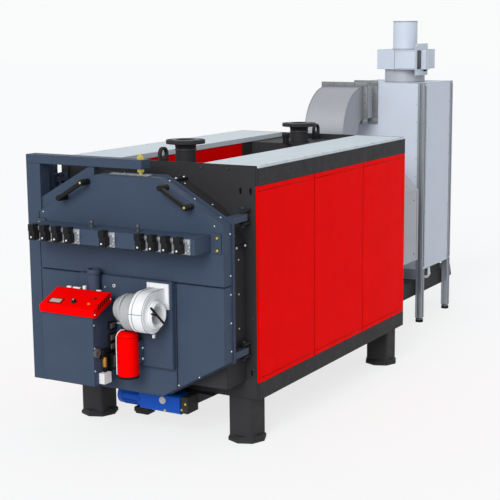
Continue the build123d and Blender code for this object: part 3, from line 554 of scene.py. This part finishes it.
# %% [markdown]
# Sheet metal is held by screws, and the eye looks for them. A screw could be a modelled thread in a hole,
# but only its head shows, so a small turned dome is enough and one array places all of them.
# On the sloping walls of the door, x is given and the height follows the wall.
# %% Screws of the door and painted gap shade by its left edge
cover_face, cover_side = -290, 594
chamfer = np.array([[199, 1458], [cover_side, 1238]])
chamfer_out = (220, 0, 395)


def along_wall(xs, y, line):
    """Places on a sloping wall: x is given and z follows the line through its corners."""
    return [(x, y, np.interp(x, line[:, 0], line[:, 1])) for x in xs]


door_side = [(cover_side, -228, z) for z in (1188, 971, 872, 722, 572)]
door_slope = along_wall((231, 384, 539), -228, chamfer)
door_face = [(x, cover_face, z) for x, z in ((540, 1233), (-565, 1234), (435, 428), (306, 367), (-435, 428))]
make("door_screws", bright_zinc, [
    *both_sides(door_side, RIGHT, 5), studs(door_face, FRONT, 4, 2.5),
    *both_sides(door_slope, chamfer_out, 5)])
# A thin dark strip down the left front edge of the cover, broken at the joint of the covers, is painted shade
# of the gap between the door and the davit post.
make("door_gap_shade", dark_paint_and_gap_shade, [
    block((-595.4, -290.6, low), (-592.8, -288, high), 0.4) for low, high in ((296, 912), (922, 1234))])

# %% [markdown]
# Short bars clamp the flange of the turning box to the front plate, with a bolt at each end. They could be
# one strip, but separate bars are what the light picks out.
# %% Arched box: screws, clamps and bolts
plate_face = -14
arch_side_x = 546
shoulder = np.array([[196, 1418], [429, 1278], [arch_side_x, 1103]])
shoulder_out, knee_out = (140, 0, 233), (175, 0, 117)
arch_side = [(arch_side_x, -68, z) for z in (1024, 839, 654)]
make("arch_screws", bright_zinc, [
    *both_sides(arch_side, RIGHT, 5), *both_sides(along_wall((215, 386), -60, shoulder), shoulder_out, 5),
    *both_sides(along_wall((516,), -60, shoulder), knee_out, 5)], "boiler")
clamps = [block((172, -122, 1417), (198, -6, 1436), 3), block((544, -134, 1086), (560, -4, 1102), 3)]
make("arch_clamps", dark_paint_and_gap_shade, clamps + [mirrored(clamp) for clamp in clamps], "boiler")
make("clamp_bolts", bright_zinc, [
    *both_sides([(185, -99, 1436), (185, -22, 1436)], UP, 7, 6),
    *both_sides([(560, -112, 1094), (560, -22, 1094)], RIGHT, 7, 6)], "boiler")
face_screws = [(x, plate_face, z) for x, z in ((290, 1492), (450, 1493), (150, 1440), (600, 700), (600, 420))]
make("plate_screws", dark_steel_and_fold_shade, both_sides(face_screws, FRONT, 5, 3), "boiler")

# %% [markdown]
# The davit post turns in lugs of the front plate. Angle sections on the post and on the plate close the gap
# between them. One wide sheet would be simpler, but it would cut into the lug, which has to pass when the
# door swings. A strap on top of the door takes the bolt by which the arm carries it.
# %% Davit: strap, guards and lock nuts
lug_low, lug_high, guard_foot, flange_top = 1371, 1397, 1180, 1420
make("hanging_strap", post_metal, [
    block((-136.6, -252.6, 1458.2), (114.6, -207.4, 1464.8), 1.5), studs([(-42, -245, 1464)], UP, 6, 9)])
make("hinge_guards", navy_paint, [
    block((-660, -69, guard_foot), (-652, -47, lug_low), 1.5),
    block((-660, -69, lug_high), (-652, -47, 1494), 1.5),
    block((-660, -68, guard_foot), (-612, -62, lug_low), 1.5),
    block((-660, -68, lug_high), (-612, -62, flange_top), 1.5)])
make("plate_guards", navy_paint, [
    block((-648, -42.5, guard_foot), (-640, -13, flange_top), 1.5),
    block((-648, -20, guard_foot), (-606, -13.5, flange_top), 1.5)], "boiler")
pins_up = [(572, -66, z) for z in (1295, 580)]
pins_down = [(572, -66, z) for z in (1205, 490)]
make("lock_nuts", navy_paint, [
    studs(pins_up, UP, 10, 8, hexagon=True), studs(pins_down, DOWN, 10, 8, hexagon=True)], "boiler")

# %% [markdown]
# A solenoid valve is a coil that slips over a core, a plug on top of it and a round flange behind it.
# The flange could be a plain disc, but its ring of small bolts is what catches the light.
# One valve is made at x = 0 and repeated at the nine stations of the manifold.
# %% Manifold: valve flanges, coils and plugs
stations = np.array([-481, -405, -325, -245, -17, 209, 287, 368, 446.0])
flange_x, flange_face, flange_z, bolt_circle = 14, -449, 1145, 31
turn = np.linspace(0, 2 * np.pi, 10, endpoint=False)
ring_bolts = np.stack([flange_x + bolt_circle * np.cos(turn), flange_face - 2.5 + 0 * turn,
                       flange_z + bolt_circle * np.sin(turn)], -1)
raised_rim = [(0, -3), (37, -3), (37, 1.4), (35.5, 2.6), (26, 2.6), (25, 1), (0, 1)]
flange = [block((-20.8, flange_face, 1105.2), (48.8, -439, 1184.8), 2),
          turned(raised_rim, (flange_x, flange_face, flange_z), FRONT, 28)]
coil = [block((-18.8, -494, 1112.4), (18.8, flange_face, 1118), 1.5),
        block((-18.8, -494, 1157), (18.8, flange_face, 1163.6), 1.5),
        turned([(0, 0), (13, 0), (13, 3), (11, 5), (0, 5)], (-1, -492, 1130), FRONT, 20),
        *[block((-23.6, -492, z), (9.6, -450, z + 4), 1) for z in (1165, 1174, 1183)],
        block((-32, -480, 1170), (-22, -462, 1184), 2)]
make("valve_flanges", post_metal, [each(part, stations) for part in flange])
make("flange_bolts", bright_zinc, [each(studs(ring_bolts, FRONT, 3.4, 2, 8), stations)])
make("valve_coils", black_plastic, [each(part, stations) for part in coil])
make("valve_screws", bright_zinc, [each(studs([(-1, -497, 1129)], FRONT, 5.5, 3), stations)])

# %% [markdown]
# The manifold hangs on bolted tabs, and two stubs stand on it, where a gauge can be screwed on. The door's
# handles end in turned bosses. A cylinder for each step would leave faces hidden inside, so one profile is
# turned round the axis, as on a lathe.
# %% Manifold tabs, test points and handle ends
tabs = [(x, -296, z) for x in (560, -588) for z in (1174, 1110)]
make("manifold_bolts", yellow_zinc, [studs(tabs, FRONT, 8, 6, hexagon=True)])
fitting = [(0, -1), (12, -1), (12, 12), (8, 13), (8, 22), (11, 23), (11, 36), (9, 39), (0, 39)]
make("test_points", dark_steel_and_fold_shade, [turned(fitting, (x, -380, 1187), "z", 8) for x in (-165, 132)])
boss = [(0, 0), (17, 0), (17, 62), (14, 70), (0, 70)]
make("handle_bosses", black_plastic, [
    turned(boss, (x, cover_face, z), FRONT, 20)
    for x, z in ((-404, 1326), (-252, 1417), (252, 1417), (404, 1326))])
make("handle_screws", yellow_zinc, [studs([(-252, -360, 1417), (404, -360, 1326)], FRONT, 7, 2.5)])

# %% [markdown]
# The panel on the console is what the operator looks at: a display in a dark bezel, a knob, a lamp.
# It could be one picture, but each part stands a little off the slope and catches its own light.
# The display shows nothing, as when the boiler is switched off.
# %% The sloping top as a plane of its own
slope_out = np.array([0.0, -67, 156])
slope_frame = basis(slope_out)
foot = slope_frame @ (0, -540, 782)


def on_slope(outline, height, edge=1.0):
    """A flat part on the sloping top: its outline is x and the distance up the slope."""
    return prism(np.array(outline, float) + (0, foot[1]), foot[2] - 2, slope_out, height + 2, edge)


def slope_place(x, distance):
    """A place on the sloping top from its x and its distance up the slope."""
    return np.array([x, distance + foot[1], foot[2]]) @ slope_frame


def soft_outline(x0, y0, x1, y1, radius, steps=4):
    """A rectangle with round corners: each corner's centre plus radius * (cos t, sin t)."""
    t = (np.linspace(0, np.pi / 2, steps)[None] + np.arange(4)[:, None] * np.pi / 2)
    cx = np.array([x1 - radius, x0 + radius, x0 + radius, x1 - radius])[:, None]
    cy = np.array([y1 - radius, y1 - radius, y0 + radius, y0 + radius])[:, None]
    return np.stack([cx + radius * np.cos(t), cy + radius * np.sin(t)], -1).reshape(-1, 2)


print("the foot of the slope is", np.round(foot[2], 1), "mm out along its normal")

# %% Console: display, knob, lamp and button
make("panel_bezel", dark_red_paint_and_fold_shade, [on_slope(soft_outline(-372, 22, -282, 68, 5), 2.5)])
make("panel_display", display_glass, [on_slope(soft_outline(-362, 30, -292, 60, 2), 3.6)])
knob_place = slope_place(-212, 53)
knob = [(0, -2), (16, -2), (16, 3), (13, 5), (12, 14), (10, 16), (0, 16)]
lens_cap = [(0, -1), (8, -1), (8, 3), (6, 6), (0, 7)]
button = [(0, -1), (8, -1), (8, 3), (0, 4)]
make("panel_knob", black_plastic, [turned(knob, knob_place, slope_out, 28)])
make("panel_pointer", white_plastic, [turned(disc(4, 15, 17), knob_place, slope_out, 12)])
make("panel_lamp", amber_lens, [turned(lens_cap, slope_place(-113, 51), slope_out)])
make("panel_buttons", black_plastic, [turned(button, slope_place(-104, 100), slope_out, 16)])

# %% [markdown]
# The sides of the console are screwed on, and warm air leaves through a row of louvres. They could be cut
# out of the sheet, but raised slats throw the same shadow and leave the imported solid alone. The white
# terminals of its wiring show behind it.
# %% Console: screws, vents and the terminals behind it
side_screws = [(-47, -531, 759), (-47, -392, 816), (-70, -512, 696), (-70, -512, 449), (-70, -512, 572)]
left_screws = [(-405, -531, 759), (-405, -392, 816), (-409, -512, 696), (-409, -512, 449)]
make("console_screws", bright_zinc, [studs(side_screws, RIGHT, 5, 3), studs(left_screws, LEFT, 5, 3)])
vent_rows = np.arange(-500, -400, 18)
vent_feet = 768 + (vent_rows + 520) * 0.43
make("console_vents", dark_red_paint_and_fold_shade, [
    block((-47.5, y - 5, z), (-45.8, y + 5, z + 32), 0.8) for y, z in zip(vent_rows, vent_feet)])
terminals = ((-347, 838, -319, 857), (-305, 838, -259, 856), (-239, 842, -221, 868), (-150, 838, -122, 853))
make("console_terminals", white_plastic, [
    block((x0, -383, z0), (x1, -366, z1), 3) for x0, z0, x1, z1 in terminals])

# %% [markdown]
# The side of the burner cabinet carries sockets, a relay and a gland. Sockets could be one block each, as in
# the CAD part, but a lid with a hinge line above and a lip below makes them read as sockets.
# %% Burner cabinet: sockets, relay and gland
sockets = (668, 604, 556)
lids = [block((-57, -391, z - 15), (-50, -349, z + 15), 3) for z in sockets]
lips = [block((-57, -396, z - 20), (-53.5, -344, z - 16.5), 1) for z in sockets]
hinges = [block((-57, -399, z + 16), (-52, -341, z + 21), 1.5) for z in sockets]
relay_window = block((-36.8, -396, 446), (-34, -344, 512), 2)
relay_ends = [block((-70.5, -426, 421), (-62, -359, 436), 3), block((-70.5, -470, 505), (-50, -408, 556), 4)]
make("socket_lids", grey_plastic, lids + [relay_window])
make("socket_frames", black_plastic, lips + hinges + relay_ends)
gland = [(6, -1), (23, -1), (25, 2), (25, 12), (21, 15), (9, 15), (6, 12), (6, -1)]
sleeve = [(0, 461), (12, 461), (13.5, 464), (13.5, 509), (12, 513), (0, 513)]
make("gland_ring", grey_plastic, [turned(gland, (-70, -500, 545), "x", 24)])
make("gland_sleeve", brass, [turned(sleeve, (-56, -449, 0), "z", 20)])
make("gland_tube", rubber, [
    tube([(-56, -449, 465), (-56, -449, 455), (-56, -447, 443), (-58, -445, 430)], 8, RIGHT)])

# %% [markdown]
# The burner plate has a zinc ring and a few screws, and pellets fall in through an upright pipe with a rim at
# its mouth and one at its foot. A rim could be a torus, but a real one is a short sleeve with broken edges,
# so its section is drawn.
# %% Burner plate: screws, ring and the rims of the pellet inlet
burner_face = -320
make("plate_ring", bright_zinc, [
    turned([(5, -1), (10, -1), (10, 4), (8, 6), (5, 6), (5, -1)], (-75, burner_face, 872), FRONT, 20)])
make("burner_screws", bright_zinc, [
    studs([(105, -329, 556), (105, -329, 497)], RIGHT, 7, 6),
    studs([(235, burner_face, 905), (-136, burner_face, 859)], FRONT, 4, 3)])
mouth_rim = [(27, 934), (35.5, 934), (36.5, 937), (36.5, 957), (35, 960), (27, 960), (27, 934)]
foot_rim = [(30, 799), (44, 799), (44, 804), (32, 808), (30, 808), (30, 799)]
make("inlet_rim", navy_paint, [
    turned(mouth_rim, (-181, -352, 0), "z", 36), turned(foot_rim, (-181, -352, 0), "z", 28)])

# %% [markdown]
# The blower is cast in two halves, so a seam runs round the scroll, whose reach grows evenly with the turn.
# The seam could be a dark line in the material, but a bead shows in the outline too and needs no image.
# %% Blower: seams of the scroll
fan = np.array([209.0, -424, 770])
scroll_start, scroll_growth, full_turn, cut_off = 80.6, 40, 310, np.radians(50)
outlet_top = 890.6
sweep = np.radians(np.linspace(4, full_turn, 60))
reach = scroll_start + scroll_growth * np.degrees(sweep) / full_turn
scroll_y = fan[1] + reach * np.sin(sweep + cut_off)
scroll_z = fan[2] + reach * np.cos(sweep + cut_off)


def seam_at(x):
    """A bead round the scroll at one x, with the straight run to the outlet."""
    path = np.stack([0 * scroll_y + x, scroll_y, scroll_z], -1)
    return tube(np.concatenate([path, [(x, -380, outlet_top), (x, -332, outlet_top)]]), 1.1, RIGHT, 6)


make("scroll_seams", dark_paint_and_gap_shade, [
    *[seam_at(x) for x in (166, 186, 249)],
    tube([(164, -531.5, 786), (200, -532.8, 787), (253, -532.2, 788)], 1.2, UP, 6)])

# %% [markdown]
# Air enters the blower through a lip that widens like a bell round the hub, with a guard bar across it. The
# lip could be a torus, but a real one is flat outside, so its whole section is drawn and turned.
# %% Blower: inlet lip, hub and guard bar
inlet = fan + (46, 0, 0)
lip = [(47.6, -30), (47.6, 14.5), (51, 17.5), (56, 21.5), (61, 25), (64, 26.5), (67, 26), (69, 23), (70, 19),
       (74, 16), (75, 4), (81, 4), (83, 2), (83, -2), (50, -2), (50, -30), (47.6, -30)]
hub = [(0, -44), (46, -44), (46, -34), (30, -30), (12, -12), (0, -10)]
make("inlet_lip", cast_white, [turned(lip, inlet, "x", 48)])
make("inlet_hub", cast_grey, [turned(hub, inlet, "x", 32)])
make("inlet_guard", black_plastic, [
    tube([(283, -497, 824), (284, -470, 798), (284, -420, 752), (283, -385, 721)], 6, RIGHT, 8),
    tube([(282, -492, 792), (283, -440, 771)], 4.5, RIGHT, 8)])

# %% [markdown]
# The blower's motor has cooling ribs round its housing and a beaded cowl over its own small fan. Ribs could
# be a bump in the material, but they stand out of the outline, so each is a thin ring.
# %% Blower: ribs and cowl of the motor
cowl_slope = 0.53
cowl = [(0, 26), (50, 26), (56, 31), (83, 82), (84, 90), (0, 90)]
cowl_ribs = [(x, 56 + cowl_slope * (x - 31)) for x in (42, 53, 64, 75)]
make("blower_ribs", cast_grey, [
    turned(ring(88, 96.4, x - 1.3, x + 1.3), (0, fan[1], fan[2]), "x", 48) for x in np.arange(106, 160, 8.5)])
make("blower_cowl", cast_grey, [
    turned(profile, (0, fan[1], fan[2] + 13), "x", 48)
    for profile in [cowl] + [ring(radius - 2, radius + 1.6, x - 1.2, x + 1.2) for x, radius in cowl_ribs]])
make("blower_terminals", black_plastic, [block((158, -520, 776), (170, -504, 790), 2)])
make("blower_screws", bright_zinc, [
    studs([(161, -513, 752), (161, -500, 800)], FRONT, 6, 4), block((244, -437, 648), (256, -420, 668), 3)])

# %% [markdown]
# The vessel of the fire quench is a pressed bottle: a bead runs round it under the dome, a rubber ring
# protects its foot, and a thin tube comes down from the valve. The tube could be a chain of cylinders, but
# one circle carried along a path has no joints.
# %% Vessel: bead, foot ring, tube and lever
bottle = (66, -405, 0)
bead = [(54, 629), (56.7, 629.6), (56.7, 632), (54, 632.6), (54, 629)]
foot_ring = [(48, 409), (56, 409), (57.8, 411), (57.8, 421), (56.5, 423), (48, 423), (48, 409)]
valve_cap = [(0, 676), (19, 676), (19, 688), (12, 692), (0, 692)]
make("vessel_bead", dark_red_paint_and_fold_shade, [turned(bead, bottle, "z", 48)])
make("vessel_foot", rubber, [turned(foot_ring, bottle, "z", 48)])
make("vessel_tube", white_plastic, [
    tube([(58, -415, 668), (40, -430, 666), (28, -440, 652), (21, -444, 632), (19, -443, 600),
          (19, -443, 520), (19, -443, 426)], 2.6, RIGHT, 8)])
make("vessel_lever", green_plastic, [block((4, -413, 693), (56, -397, 701), 2)])
make("vessel_grip", black_plastic, [
    block((82, -412, 688), (108, -398, 696), 3), block((100, -410, 672), (108, -400, 692), 2),
    block((54, -446, 678), (80, -400, 694), 5), block((60, -452, 690), (86, -440, 702), 4),
    turned(valve_cap, bottle, "z", 16)])

# %% [markdown]
# The gearmotor is a worm box with a small motor on it. Cooling fins run along the motor, and a cowl
# covers the fan at its end. The fins could be a bump in the material, but their outline shows.
# %% Gearmotor: fins, cowl and fan grille
motor_axis = np.array([0, -100, 204.0])
fin_start, fin_end = -168, -62


def fin(angle):
    """A thin fin: a small rectangle turned round the motor's axis, carried along it."""
    out = np.array([0, np.cos(angle), np.sin(angle)])
    across = np.array([0, -np.sin(angle), np.cos(angle)])
    section = [(46, -1.4), (53, -1.0), (53, 1.0), (46, 1.4)]
    outline = np.array([out * r + across * w for r, w in section]) + motor_axis
    points = np.concatenate([outline + (x, 0, 0) for x in (fin_start, fin_end)])
    return points, [grid_faces(2, 4), np.arange(4)[None], np.arange(4)[None] + 4]


make("motor_fins", motor_blue, [fin(angle) for angle in np.radians(np.arange(-160, 161, 20))], "boiler")
fan_cowl = [(0, -208), (38, -208), (48, -204), (51, -196), (51, -170), (47.5, fin_start), (0, fin_start)]
make("motor_cowl", motor_blue, [
    turned(fan_cowl, motor_axis, "x", 40), turned(disc(56, fin_end, -49), motor_axis, "x", 40)], "boiler")
make("motor_grille", dark_paint_and_gap_shade, [turned(ring(12, 32, -209, -207.5), motor_axis, "x", 32)], "boiler")

# %% [markdown]
# A terminal box hangs under the motor, and a plate above it keeps ash off. The plate could be a single face,
# but a few millimetres of thickness give it an edge that the light catches.
# %% Gearmotor: terminal box, cover disc, bolts and shield
gear_face = -154
cable_gland = [(0, -1), (11, -1), (11, 12), (7, 14), (0, 14)]
cover_disc = [(0, -2), (21, -2), (21, 3), (19, 5), (15, 5), (13, 3.5), (0, 3.5)]
make("motor_terminals", black_plastic, [
    block((-98, -142, 122), (-2, -58, 152), 6), block((-92, -136, 112), (-8, -64, 124), 4),
    turned(cable_gland, (-2, -100, 136), "x", 12)], "boiler")
make("gearbox_cover", cast_grey, [turned(cover_disc, (105, gear_face, 220), FRONT, 32)], "boiler")
make("gear_bolts", yellow_zinc, [
    studs([(246, -144, 214), (222, -144, 178), (118, gear_face, 164)], FRONT, 6, 4, hexagon=True)], "boiler")
make("motor_shield", black_paint, [
    block((-130, -152, 257), (100, -60, 263), 2), block((-10, -70, 240), (10, -50, 260), 2)], "boiler")

# %% [markdown]
# A cassette of the casing has a folded rim, so a fine shadow line runs just inside its long edges. That line
# is
# painted shade: a real bead in darker red, because a line in the material would vanish at a low angle.
# %% Casing: painted fold shade and screws
casing_side = 627
body_length, cassette_gap = 1932, 6
cassette = (body_length - 2 * cassette_gap) / 3
starts = (cassette + cassette_gap) * np.arange(3)
fold_shade_beads = [block((casing_side - 0.8, start + 3, z), (casing_side + 0.5, start + cassette - 3, z + 2.4), 0.5)
         for start in starts for z in (372, 1379)]
# The darker red of these beads is painted shade of the folded rims.
make("panel_fold_shade", dark_red_paint_and_fold_shade, fold_shade_beads + [mirrored(shade_bead) for shade_bead in fold_shade_beads], "boiler")
cover_places = [(613, y, 1512) for y in range(120, 1900, 220)]
make("cover_screws", dark_steel_and_fold_shade, both_sides(cover_places, UP, 4, 1.5), "boiler")
rail_places = [(casing_side, y, z) for y in (60, 330, 966, 1602, 1872) for z in (1455, 296)]
make("rail_screws", dark_steel_and_fold_shade, both_sides(rail_places, RIGHT, 4.5, 2), "boiler")

# %% [markdown]
# A water nozzle is welded into the body, and a gasket lies on it under its flange. Both could be painted
# rings, but a raised bead takes a highlight as a weld does. Plugged sockets stand in the channel.
# %% Casing: rings of the nozzles and sockets in the channel
nozzles = (280, 1634)
weld = [(56, 1546), (60, 1546), (61.5, 1550), (60.5, 1554), (57.6, 1556), (56, 1556), (56, 1546)]
gasket = ring(54, 79, 1603, 1606)
make("nozzle_rings", dark_steel_and_fold_shade, [
    turned(profile, (0, y, 0), "z", 48) for profile in (weld, gasket) for y in nozzles], "boiler")
socket = [(0, 1400), (20, 1400), (20, 1444), (22, 1446), (22, 1460), (14, 1462), (0, 1462)]
make("channel_sockets", dark_paint_and_gap_shade, [
    turned(socket, place, "z", 16) for place in ((-255, 60, 0), (255, 1440, 0), (0, 1453, 85))], "boiler")

# %% [markdown]
# The flue hood is folded from sheet and bolted to the body by a flange, with a seam down each side and two
# cleaning doors at its rear. The doors could be cut into it, but plates that lie on it look the same and
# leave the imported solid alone.
# %% Hood: flange strips, seams and cleaning doors
hood_back = 1938
make("hood_flange", hood_sheet, [
    block((398, 1931, 545), (432, hood_back, 1070), 1), block((-442, 1931, 545), (-408, hood_back, 1300), 1),
    block((-442, 1931, 1298), (190, hood_back, 1332), 1),
    block((-442, 1931, 511), (432, hood_back, 547), 1)], "boiler")
make("hood_seams", dark_steel_and_fold_shade, [
    block((x, 2688, 556), (x + 2.5, 2692, top), 0.8) for x, top in ((398.5, 1052), (-411, 1290))], "boiler")
make("cleaning_doors", hood_sheet, [
    prism(soft_outline(x, 620, x + 330, 1010, 22), 2718, "y", 16, 4) for x in (-365, 25)], "boiler")
latch = [(0, 0), (17, 0), (17, 8), (9, 10), (9, 26), (14, 28), (14, 34), (0, 34)]
make("door_latches", black_plastic, [
    turned(latch, (x, 2733, z), BACK, 20) for x in (-200, 190) for z in (660, 970)], "boiler")


# %% [markdown]
# Two lengths of duct meet in a bolted frame. A block with a hole would need a boolean, while four bars that
# meet without overlapping give the same frame with clean corners.
# %% Duct frames and their bolts
def frame_bars(x0, x1, z0, z1, y0, y1, band):
    """Four flat bars round an opening: the bolted frame between two lengths of duct."""
    level = [block((x0, y0, z), (x1, y1, z + band), 1) for z in (z1 - band, z0)]
    return level + [block((x, y0, z0 + band), (x + band, y1, z1 - band), 1) for x in (x0, x1 - band)]


elbow_end, inlet_end = 2830, 2996
hood_bolts = rows_on(
    hood_back, ([416], range(590, 1060, 110)), ([-426], range(590, 1290, 110)),
    (range(-380, 180, 110), [1316]), (range(-380, 420, 110), [528]))
upright_bolts = (1605, 1665, 1725)
frame_bolts = rows_on(elbow_end, ((-340, -255, -170), (1528.5, 1801.5)), ((-426.5, -83.5), upright_bolts))
frame_bolts += rows_on(inlet_end, ((-195, -155, -115), (1525, 1805)), ((-231, -80), upright_bolts))
make("duct_frames", frame_steel_and_groove_shade, [
    *frame_bars(-443.8, -66.2, 1511.2, 1818.8, elbow_end - 0.8, 2844.8, 33.5),
    *frame_bars(-251.8, -59.2, 1504.2, 1825.8, inlet_end - 0.8, 3010, 40.5)], "boiler")
make("flue_bolts", dark_steel_and_fold_shade, [
    studs(hood_bolts, BACK, 7, 5, hexagon=True), studs([(400, 2634, 991), (400, 2642, 599)], RIGHT, 6, 3),
    studs(frame_bolts, FRONT, 4, 3, hexagon=True)], "boiler")

# %% [markdown]
# The walls of the riser elbow are joined by folded beads. A curve with a bevel could draw them, but the
# tube from before follows the quarter circle just as well.
# %% Elbow: beads along its edges and its foot
bend = np.radians(np.linspace(0, 90, 24))
bend_foot = 1445


def elbow_edge(radius, x):
    """The edge of the elbow: up the riser, then centre + radius * (-cos a, sin a) to the frame."""
    arc = np.stack([0 * bend + x, elbow_end - radius * np.cos(bend), bend_foot + radius * np.sin(bend)], -1)
    riser = [(x, elbow_end - radius, z) for z in (1302, 1350, 1400)]
    return tube(np.concatenate([riser, arc]), 3.2, RIGHT, 8)


make("elbow_beads", post_metal, [
    elbow_edge(radius, x) for radius in (100, 340) for x in (-410, -100)], "boiler")
make("elbow_foot", hood_sheet, [
    *[block((-428, y, 1299), (-82, y + 17, 1306), 1) for y in (2474, 2729)],
    *[block((x, 2489, 1299), (x + 19, 2731, 1306), 1) for x in (-428, -101)]], "boiler")

# %% [markdown]
# The cyclone cabinet is a frame of grooved posts with panels riveted between them. On its hidden back it has
# a plain door with two hinges and a latch, as such a cabinet needs for cleaning.
# %% Cyclone cabinet: rivets and rear door
cabinet_side, cabinet_front, cabinet_back = 311, 3014, 3586
levels = np.arange(440, 1790, 135)
rivets_right = [(cabinet_side, y, z) for y in (3072, 3528) for z in levels]
make("cabinet_rivets", post_metal, both_sides(rivets_right, RIGHT, 4, 2, 8) + [
    studs(rows_on(y, ((-254, 254), levels)), out, 4, 2, 8)
    for y, out in ((cabinet_front, FRONT), (cabinet_back, BACK))], "boiler")
rear_door = soft_outline(-225, 520, 225, 1700, 14)
make("cabinet_door", cabinet_sheet, [prism(rear_door, cabinet_back - 1, "y", 6, 1.5)], "boiler")
make("cabinet_latch", black_plastic, [
    turned([(0, -2), (16, -2), (16, 4), (0, 6)], (-196, 3591, 1100), BACK, 20),
    block((-201, 3590, 1060), (-191, 3598, 1140), 3),
    *[block((216, 3585, z), (240, 3597, z + 70), 4) for z in (640, 1500)]], "boiler")

# %% [markdown]
# The posts are grooved profiles on rubber feet, and a white pipe drains the cabinet. The grooves could be
# cut, but a thin darker strip, which is painted shade of the groove, reads as a groove at this distance.
# %% Cyclone cabinet: drain, painted groove shade, bolts and feet of the posts
make("crossbar_lip", white_plastic, [block((-262, 3008, 326), (262, 3018, 333), 1.5)], "boiler")
drain = [(309, 3160, 404), (310, 3160, 385), (311, 3160, 362), (309, 3160, 345), (302, 3160, 333),
         (290, 3160, 328), (262, 3160, 327)]
make("cabinet_drain", white_plastic, [
    tube(drain, 10, BACK, 14), turned(ring(9, 13, 350, 366), (310.5, 3160, 0), "z", 20)], "boiler")
post_x, post_rows, groove_top = 290, (3035, 3565), 1804
# Each darker strip is painted shade standing in for a groove.
groove_shade_strips = [block((305, y - 8.4, 40), (306.6, y + 8.4, groove_top), 0.5) for y in post_rows]
groove_shade_strips += [block((post_x - 8.4, y, 40), (post_x + 8.4, y + 1.6, groove_top), 0.5) for y in (3018.4, 3580)]
make("post_groove_shade", frame_steel_and_groove_shade, groove_shade_strips + [mirrored(groove) for groove in groove_shade_strips], "boiler")
post_tabs = [(317.5, y, z) for y in post_rows for z in (420, 1795)]
make("post_bolts", bright_zinc, both_sides(post_tabs, RIGHT, 7, 3, hexagon=True), "boiler")
post_shoe = [(0, 0), (28.8, 0), (29.2, 3), (29.2, 18), (26, 25), (12, 26), (0, 26)]
make("post_feet", rubber, [
    turned(post_shoe, (x, y, 0), "z", 32) for x in (-post_x, post_x) for y in post_rows], "boiler")

# %% [markdown]
# The extract fan stands on a collar with a clamp ring, its motor is bolted to a square plate, and the stack
# starts and ends in a rolled rim. The rims could be tori, but a rolled sheet is flat on its inside.
# %% Extract fan: clamp, plate bolts, painted shade at folds and slot, and stack rims
stack = (33, 3300, 0)
rims = [([(150, 1808), (156, 1808), (156, 1811), (153, 1813), (150, 1813), (150, 1808)], 64),
        ([(90, 2051), (104, 2051), (104, 2055), (94, 2058), (90, 2058), (90, 2051)], 48),
        ([(90.5, 2257), (93, 2257), (94, 2261), (93, 2265), (90.5, 2265), (90.5, 2257)], 48)]
make("fan_clamp", post_metal, [turned(rim, stack, "z", sides) for rim, sides in rims], "boiler")
plate_bolts = [(206, 3214 + y, 1978.5 + z) for y in (-104, 104) for z in (-104, 104)]
make("fan_bolts", bright_zinc, [
    studs(plate_bolts, RIGHT, 8, 5, hexagon=True), studs([(246, 3236, 1978)], RIGHT, 5, 3)], "boiler")
# Thin dark strips are painted shade: at the fold and along the top and bottom edges of the fan's front face,
# and in the slot of the motor plate.
make("fan_fold_shade", dark_steel_and_fold_shade, [
    block((27, 3111, 1908), (29.2, 3113, 2049), 0.6), block((205.5, 3127, 1908), (207.6, 3199, 2048), 0.8),
    *[block((32, 3111, z), (197, 3112.8, z + 1.5), 0.5) for z in (1912, 2043)]], "boiler")
make("motor_gland", black_plastic, [
    turned([(0, -1), (13, -1), (13, 12), (9, 16), (0, 16)], (226, 3236, 1905), DOWN, 16)], "boiler")

# %% [markdown]
# The ash conveyor is a closed channel in bolted lengths with a lid. A plain box would do from afar, but the
# flanges and the rows of bolts tell how it comes apart.
# %% Conveyor: flanges, lid bolts and end cap
lid_top = 332
joints = [block((26, y - 5, 196), (274, y + 5, 340), 2) for y in (2560, 2572)]
lid_bolts = [(x, y, lid_top) for x in (44, 256) for y in range(2000, 3100, 180)]
joint_bolts = [(x, 2550, z) for x in (36, 264) for z in (214, 322)]
end_cap = [(0, -1), (34, -1), (34, 6), (20, 8), (12, 14), (0, 14)]
make("conveyor_flanges", black_paint, joints + [block((32, 1940, 327), (268, 3120, lid_top), 1.5)], "boiler")
make("conveyor_bolts", dark_steel_and_fold_shade, [
    studs(lid_bolts, UP, 6, 4, hexagon=True), studs(joint_bolts, FRONT, 6, 4, hexagon=True),
    turned(end_cap, (150, 3758, 268), BACK, 32)], "boiler")
